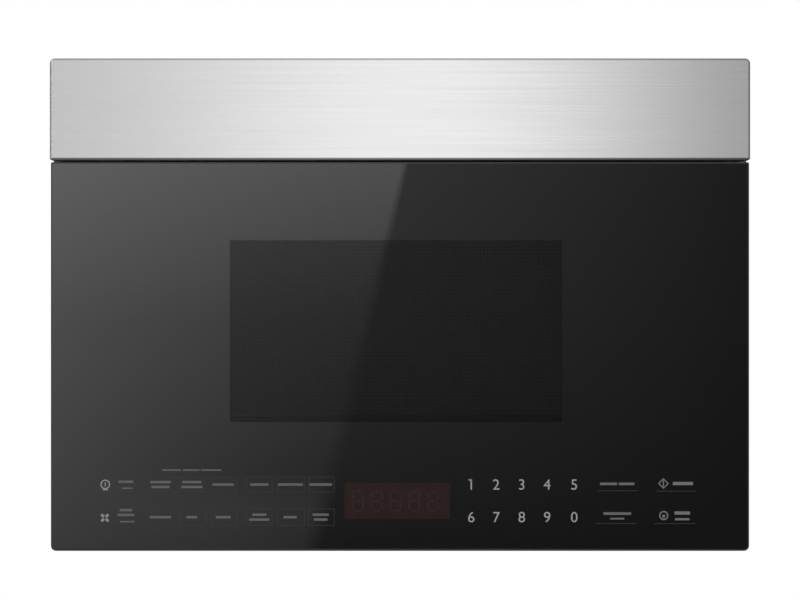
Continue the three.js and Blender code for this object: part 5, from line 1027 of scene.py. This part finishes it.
def turntable_tray():
    """Pressed glass: a flat floor, a rim that slopes up to a round lip, and three lugs for the coupler."""
    low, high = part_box("glass_tray")
    centre = (low + high) / 2
    radius = (high.x - low.x) / 2
    flat = radius - TRAY_SLOPE
    place = (centre.x, centre.y, TRAY_UNDER + TRAY_THICK / 2)
    tray = drum("turntable_tray", place, flat, TRAY_THICK, sides=96)
    choose(tray, "FACE", lambda face: abs(face.normal.z) < 0.1)
    reach, rise = flat, 0
    for wider, higher in ((radius - TRAY_LIP, TRAY_RISE), (radius, high.z - TRAY_UNDER - TRAY_THICK)):
        bpy.ops.mesh.extrude_region_move(TRANSFORM_OT_translate={"value": (0, 0, higher - rise)})
        growth = wider / reach
        bpy.ops.transform.resize(value=(growth, growth, 1), center_override=(centre.x, centre.y, 0))
        reach, rise = wider, higher
    close_edit()

    def rounded(edge):
        start, end = (v.co for v in edge.verts)
        level = abs(start.z - end.z) < NEAR
        return level and edge.calc_face_angle(0) > 0.1 and (start.xy - centre.xy).length > flat - 0.001
    bevel(tray, TRAY_BEND, 3, rounded)
    smooth(tray, 40)
    lugs = []
    for turn in LUG_TURNS:
        angle = math.radians(turn)
        lug = block("lug", (-LUG_HALF[0], -LUG_HALF[1], low.z), (*LUG_HALF, TRAY_UNDER))
        bevel(lug, LUG_EDGE, 3, lambda edge: any(v.co.z < TRAY_UNDER - NEAR for v in edge.verts))
        lug.rotation_euler = (0, 0, angle)
        lug.location = (centre.x + LUG_REACH * math.cos(angle), centre.y + LUG_REACH * math.sin(angle), 0)
        lugs.append(smooth(settled("lug")))
    finished(joined("turntable_tray", [tray] + lugs), "tray", "clear_glass", "clear_glass")
    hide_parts("glass_tray")


# -------------------- the lamp lens over the cooktop
LENS_STEP = 0.0028
LENS_LIP = 0.0043
LENS_RIBS = 32
RIB_HEIGHT = 0.0007


def ribbed_lens():
    """Pressed lens: a lip that rests on the base, and a field below it with fine ribs across."""
    low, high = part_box("cooktop_lamp_lens")
    lens = block("ribbed_lens", (low.x, low.y, LENS_STEP), high)
    choose(lens, "FACE", lambda face: face.normal.z < -0.9)
    bpy.ops.mesh.inset(thickness=LENS_LIP)
    bpy.ops.mesh.extrude_region_move(TRANSFORM_OT_translate={"value": (0, 0, low.z - LENS_STEP)})
    close_edit()
    start = low.x + LENS_LIP
    pitch = (high.x - LENS_LIP - start) / LENS_RIBS
    places = [start + pitch * rib for rib in range(1, LENS_RIBS)]
    slice_at(lens, "x", *places)
    beneath = lies_at("z", low.z)
    crests = [lies_at("x", place) for place in places[::2]]
    choose(lens, "EDGE", lambda edge: beneath(edge) and any(crest(edge) for crest in crests))
    bpy.ops.transform.translate(value=(0, 0, RIB_HEIGHT))
    close_edit()
    finished(lens, "cabinet", "clear_glass", "lens")
    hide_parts("cooktop_lamp_lens")


# -------------------- screws
HEAD_RADIUS = 0.0037
HEAD_HEIGHT = 0.0014
HEAD_EDGE = 0.0008
HEAD_SIDES = 24
CROSS = (0.0044, 0.0011)
CROSS_DEPTH = 0.0008
SUNK_PROUD = 0.00003
SUNK_RIM = 0.0004


def cross_cutters(depth, top):
    long, across = CROSS[0] / 2, CROSS[1] / 2
    return [
        block("cutter", (-long, -across, top - depth), (long, across, top + depth)),
        block("cutter", (-across, -long, top - depth), (across, long, top + depth)),
    ]


def pan_head():
    """A pan-head screw with a cross recess, standing along z from its seat at the origin."""
    head = drum("screw", (0, 0, HEAD_HEIGHT / 2), HEAD_RADIUS, HEAD_HEIGHT, sides=HEAD_SIDES)
    bevel(head, HEAD_EDGE, 3, lies_at("z", HEAD_HEIGHT))
    for cutter in cross_cutters(CROSS_DEPTH, HEAD_HEIGHT):
        modified(head, "BOOLEAN", operation="DIFFERENCE", object=cutter)
        removed(cutter)
    return wear(smooth(head), "bolt")


def sunk_head():
    """A countersunk screw, its flat head flush with the sheet: a thin disc, with a dark ring round it and its
    dark cross as painted shade for the gap and the cross recess.
    """
    gap_shade_disc = drum("screw", (0, 0, SUNK_PROUD / 4), HEAD_RADIUS + SUNK_RIM, SUNK_PROUD / 2, sides=HEAD_SIDES)
    head = drum("screw", (0, 0, SUNK_PROUD / 2), HEAD_RADIUS, SUNK_PROUD, sides=HEAD_SIDES)
    # Painted shade: a dark disc under the head and dark bars over it stand for the shaded gap and the cross
    # recess.
    parts = [wear(gap_shade_disc, "dark_plastic"), wear(head, "bolt")]
    parts += [wear(recess_shade_bar, "dark_plastic") for recess_shade_bar in cross_cutters(SUNK_PROUD / 4, SUNK_PROUD)]
    return joined("screw", parts)


def screws(name, model, places):
    """Copies of one screw, each standing out along its own direction."""
    made = []
    for place, direction in places:
        select_only(model)
        bpy.ops.object.duplicate()
        copy = bpy.context.object
        copy.rotation_euler = Vector(direction).to_track_quat("Z", "Y").to_euler()
        copy.location = place
        made.append(settled("screw"))
    finished(joined(name, made), "cabinet", "zinc_sheet")


def pairs(first, second):
    return [(a, b) for a in first for b in second]


# The faces that screws stand on, and the places of the screws along each face's two ways.
BASE, FRONT_PLATE, BACK, SIDE, TOP = 0.0015, -0.154, 0.201, 0.303, 0.426
BASE_SCREWS = pairs((-0.289, 0.289), (-0.141, 0.02, 0.187))
BASE_SCREWS += [(-0.06, 0.187), (0.06, 0.187), (-0.068, -0.095), (0.068, -0.095)]
PLATE_SCREWS = pairs((0.2515,), (0.094, 0.192, 0.29)) + pairs((-0.27, 0.29), (0.022, 0.318))
BACK_SCREWS = pairs((-0.293, 0.293), (0.05, 0.215, 0.39)) + pairs((-0.1, 0.1), (0.012, 0.416))
TOP_SCREWS = pairs((-0.293, 0.293), (-0.08, 0.19)) + pairs((-0.1297, 0.1297), (0.0583, 0.1577))
SIDE_SCREWS = pairs((-0.12, 0.186), (0.014, 0.412))


def case_screws():
    pan = pan_head()
    screws("base_screws", pan, [((x, y, BASE), (0, 0, -1)) for x, y in BASE_SCREWS])
    screws("plate_screws", pan, [((x, FRONT_PLATE, z), (0, -1, 0)) for x, z in PLATE_SCREWS])
    removed(pan)
    sunk = sunk_head()
    outside = [((x, BACK, z), (0, 1, 0)) for x, z in BACK_SCREWS]
    outside += [((x, y, TOP), (0, 0, 1)) for x, y in TOP_SCREWS]
    outside += [((way * SIDE, y, z), (way, 0, 0)) for way in (-1, 1) for y, z in SIDE_SCREWS]
    screws("sunk_screws", sunk, outside)
    removed(sunk)


# -------------------- what the door and the band mirror
# A card between the object and the camera, which only reflections see. It is CARD_SCALE times as wide as
# what it fills on the front, so its picture is laid out in places on the front: x and z.
CARD_Y = -2.2
CARD_Z = 1.0
CARD_SIZE = (8, 9)
CARD_SCALE = 1 + (FRONT - CARD_Y) / (FRONT - CAMERA_Y)
DOOR_Z = (-0.02, 0.345)
DOOR_HALF = 0.306
# The bright pane brightens upwards, more so above PANE_HEAD, and falls off to the right of PANE_LEFT.
PANE_LEFT, PANE_HEAD = -0.295, 0.2
PANE_RISE, PANE_HEAD_RISE, PANE_START = 1.832, 2.055, 0.434
PANE_FALL, PANE_FALL_EASE = 2.117, -2.224
PANE_LEAST = 0.05
GLOW_TOP, GLOW_DEPTH, GLOW_RISE, GLOW_MOST = 0.07, 0.03, 0.8, 0.12
# The darker part beside it falls off to the right too.
DARK_LEFT, DARK_FALL = 0.02, -2.6
DARK_RISE, DARK_START, DARK_LEAST = 0.75, 0.04, 0.02
# The edge between them leans to the left on its way down and softens a little.
EDGE_TOP, EDGE_X, EDGE_LEAN = 0.3353, 0.0045, 0.24
EDGE_SOFT, EDGE_SPREAD = 0.003, 0.02
WALL_TONES = ((0.0, 0.4), (0.33, 0.64), (0.505, 1.15), (0.53, 1.15), (0.67, 0.36), (1.0, 0.3))


def bright_pane(tree, x, z):
    high = math_node(tree, "MAXIMUM", minus(tree, z, PANE_HEAD), 0.0)
    level = line(tree, z, PANE_RISE, line(tree, high, PANE_HEAD_RISE, PANE_START))
    across = math_node(tree, "ADD", x, -PANE_LEFT)
    fall = times(tree, across, line(tree, across, PANE_FALL_EASE, PANE_FALL))
    low_down = math_node(tree, "DIVIDE", minus(tree, GLOW_TOP, z), GLOW_DEPTH, clamp=True)
    glow = math_node(tree, "MINIMUM", times(tree, across, GLOW_RISE), GLOW_MOST)
    return math_node(tree, "MAXIMUM", line(tree, low_down, glow, minus(tree, level, fall)), PANE_LEAST)


def dark_pane(tree, x, z):
    fall = line(tree, minus(tree, x, DARK_LEFT), DARK_FALL, 1.0)
    return math_node(tree, "MAXIMUM", times(tree, line(tree, z, DARK_RISE, DARK_START), fall), DARK_LEAST)


def beyond_edge(tree, x, z):
    """0 to the left of the leaning edge between the two, 1 to its right."""
    drop = minus(tree, EDGE_TOP, z)
    edge = minus(tree, EDGE_X, times(tree, drop, EDGE_LEAN))
    soft = math_node(tree, "MAXIMUM", line(tree, drop, EDGE_SPREAD, EDGE_SOFT), EDGE_SOFT)
    side = math_node(tree, "DIVIDE", minus(tree, x, edge), soft)
    return math_node(tree, "MULTIPLY_ADD", side, 0.5, 0.5, clamp=True)


def wall_tone(tree, x):
    """The wall that brushed metal mirrors: brightest in the middle."""
    wall = node(tree, "ValToRGB", line(tree, x, 0.5, 0.5))
    ramp = wall.color_ramp
    ramp.interpolation = "EASE"
    for position, _ in WALL_TONES[1:-1]:
        ramp.elements.new(position)
    for stop, (_, tone) in zip(ramp.elements, WALL_TONES):
        stop.color = (*grey(tone), 1)
    return wall.outputs["Color"]


def reflected_studio():
    """The pale wall that only reflections see. Mirror-sharp ones see a window's pane before the door."""
    material, tree = new_material("studio_wall")
    shrink = 1 / CARD_SCALE
    shift = (0, 0, CAMERA_HEIGHT * (1 - shrink))
    x, _, z = split(tree, rescaled(tree, own_place(tree), (shrink, shrink, shrink), shift))
    pane = blended(tree, beyond_edge(tree, x, z), bright_pane(tree, x, z), dark_pane(tree, x, z))
    above_foot = math_node(tree, "GREATER_THAN", z, DOOR_Z[0])
    level_with_door = times(tree, math_node(tree, "LESS_THAN", z, DOOR_Z[1]), above_foot)
    mirrored = node(tree, "LightPath").outputs["Is Singular Ray"]
    between_sides = math_node(tree, "LESS_THAN", math_node(tree, "ABSOLUTE", x), DOOR_HALF)
    on_door = times(tree, times(tree, level_with_door, mirrored), between_sides)
    light = node(tree, "Emission", Strength=blended(tree, on_door, wall_tone(tree, x), pane))
    node(tree, "OutputMaterial", light.outputs[0])

    bpy.ops.mesh.primitive_plane_add(size=1, location=(0, CARD_Y, CARD_Z), rotation=(math.pi / 2, 0, 0))
    bpy.context.object.scale = (*CARD_SIZE, 1)
    card = settled("studio_wall")
    card.data.materials.append(material)
    for ray in ("camera", "diffuse", "transmission", "shadow", "volume_scatter"):
        setattr(card, f"visible_{ray}", False)


# -------------------- the room and its lamps
LIT_LEVEL = 0.6
# How dark the room gets in reflections, and over which part of each way it gets so.
DIM_ASIDE, ASIDE = 0.42, (0.35, 0.9)
DIM_ABOVE, ABOVE = 0.45, (0.3, 0.8)
DIM_BENEATH, BENEATH = 0.16, (0.1, 0.6)
DIM_BEHIND, BEHIND = 0.7, (0.2, 0.85)
LAMP_AIM = Vector((0, 0, 0.2))
# Each lamp's name, place, size and power. Only the key lamp shows in reflections.
LAMPS = (
    ("key", (-1.7, -2.4, 2.2), 1.6, 42),
    ("fill", (2.2, -1.8, 1.4), 1.8, 18),
    ("rear", (0.8, 2.6, 2.0), 1.8, 26),
    ("below", (0.3, -1.2, -0.45), 1.2, 6),
)


def seen_directly(tree):
    """1 for a ray from the camera, a reflection or through glass."""
    path = node(tree, "LightPath").outputs
    first = math_node(tree, "MAXIMUM", path["Is Camera Ray"], path["Is Glossy Ray"])
    return math_node(tree, "MAXIMUM", first, path["Is Transmission Ray"])


def room_level(tree):
    """White to the camera and through glass; in reflections the room dims away from the door's front."""
    x, y, z = split(tree, node(tree, "TexCoord").outputs["Generated"])
    aside = spread(tree, math_node(tree, "ABSOLUTE", x), 1.0, DIM_ASIDE, ASIDE)
    above = spread(tree, z, 1.0, DIM_ABOVE, ABOVE)
    beneath = spread(tree, times(tree, z, -1.0), 1.0, DIM_BENEATH, BENEATH)
    behind = spread(tree, y, 1.0, DIM_BEHIND, BEHIND)
    dimmed = times(tree, times(tree, times(tree, aside, behind), above), beneath)
    return blended(tree, node(tree, "LightPath").outputs["Is Glossy Ray"], 1.0, dimmed)


def light_studio():
    world = bpy.data.worlds.new("studio")
    bpy.context.scene.world = world
    world.use_nodes = True
    tree = world.node_tree
    tree.nodes.clear()
    shown = node(tree, "Background", (1, 1, 1, 1), room_level(tree))
    lit = node(tree, "Background", (1, 1, 1, 1), LIT_LEVEL)
    choice = node(tree, "MixShader", seen_directly(tree), lit.outputs[0], shown.outputs[0])
    node(tree, "OutputWorld", choice.outputs[0])
    for name, place, size, power in LAMPS:
        bpy.ops.object.light_add(type="AREA", location=place)
        lamp = bpy.context.object
        lamp.name = name
        lamp.data.size = size
        lamp.data.energy = power
        lamp.rotation_euler = (LAMP_AIM - Vector(place)).to_track_quat("-Z", "Y").to_euler()
        lamp.visible_glossy = name == "key"


FLOOR_LEVEL = -0.6
FLOOR_SIZE = 24
FLOOR_FADE = (1.2, 3.2)
FLOOR_GLOW = 0.35


def pale_floor():
    """A matt floor that fades to the white background and can't be seen from below."""
    material, tree = new_material("pale_floor")
    place = stretched(tree)
    tone = shade_between(tree, noise(tree, place, 2.5), grey(0.8), grey(0.84))
    matt = node(tree, "BsdfDiffuse", tone)
    glow = node(tree, "Emission", Strength=FLOOR_GLOW)
    ground = node(tree, "AddShader", matt.outputs[0], glow.outputs[0])
    away = node(tree, "VectorMath", place, operation="LENGTH").outputs["Value"]
    far = spread(tree, away, 0.0, 1.0, FLOOR_FADE)
    white = node(tree, "Emission")
    faded = node(tree, "MixShader", far, ground.outputs[0], white.outputs[0])
    below = node(tree, "NewGeometry").outputs["Backfacing"]
    clear = node(tree, "BsdfTransparent")
    one_sided = node(tree, "MixShader", below, faded.outputs[0], clear.outputs[0])
    node(tree, "OutputMaterial", one_sided.outputs[0])
    bpy.ops.mesh.primitive_plane_add(size=1, location=(0, 0, FLOOR_LEVEL))
    bpy.context.object.scale = (FLOOR_SIZE, FLOOR_SIZE, 1)
    floor = settled("floor")
    floor.visible_glossy = False
    floor.data.materials.append(material)


# -------------------- the object, piece by piece
add_camera()
dress_solids()
door_glass()
numeral_keys()
menu_keys()
hood_keys()
control_keys()
display_characters()
perforated_screen()
coil_spring()
filter_meshes()
turntable_tray()
ribbed_lens()
case_screws()
reflected_studio()
light_studio()
pale_floor()

bpy.context.scene.view_settings.view_transform = "Standard"
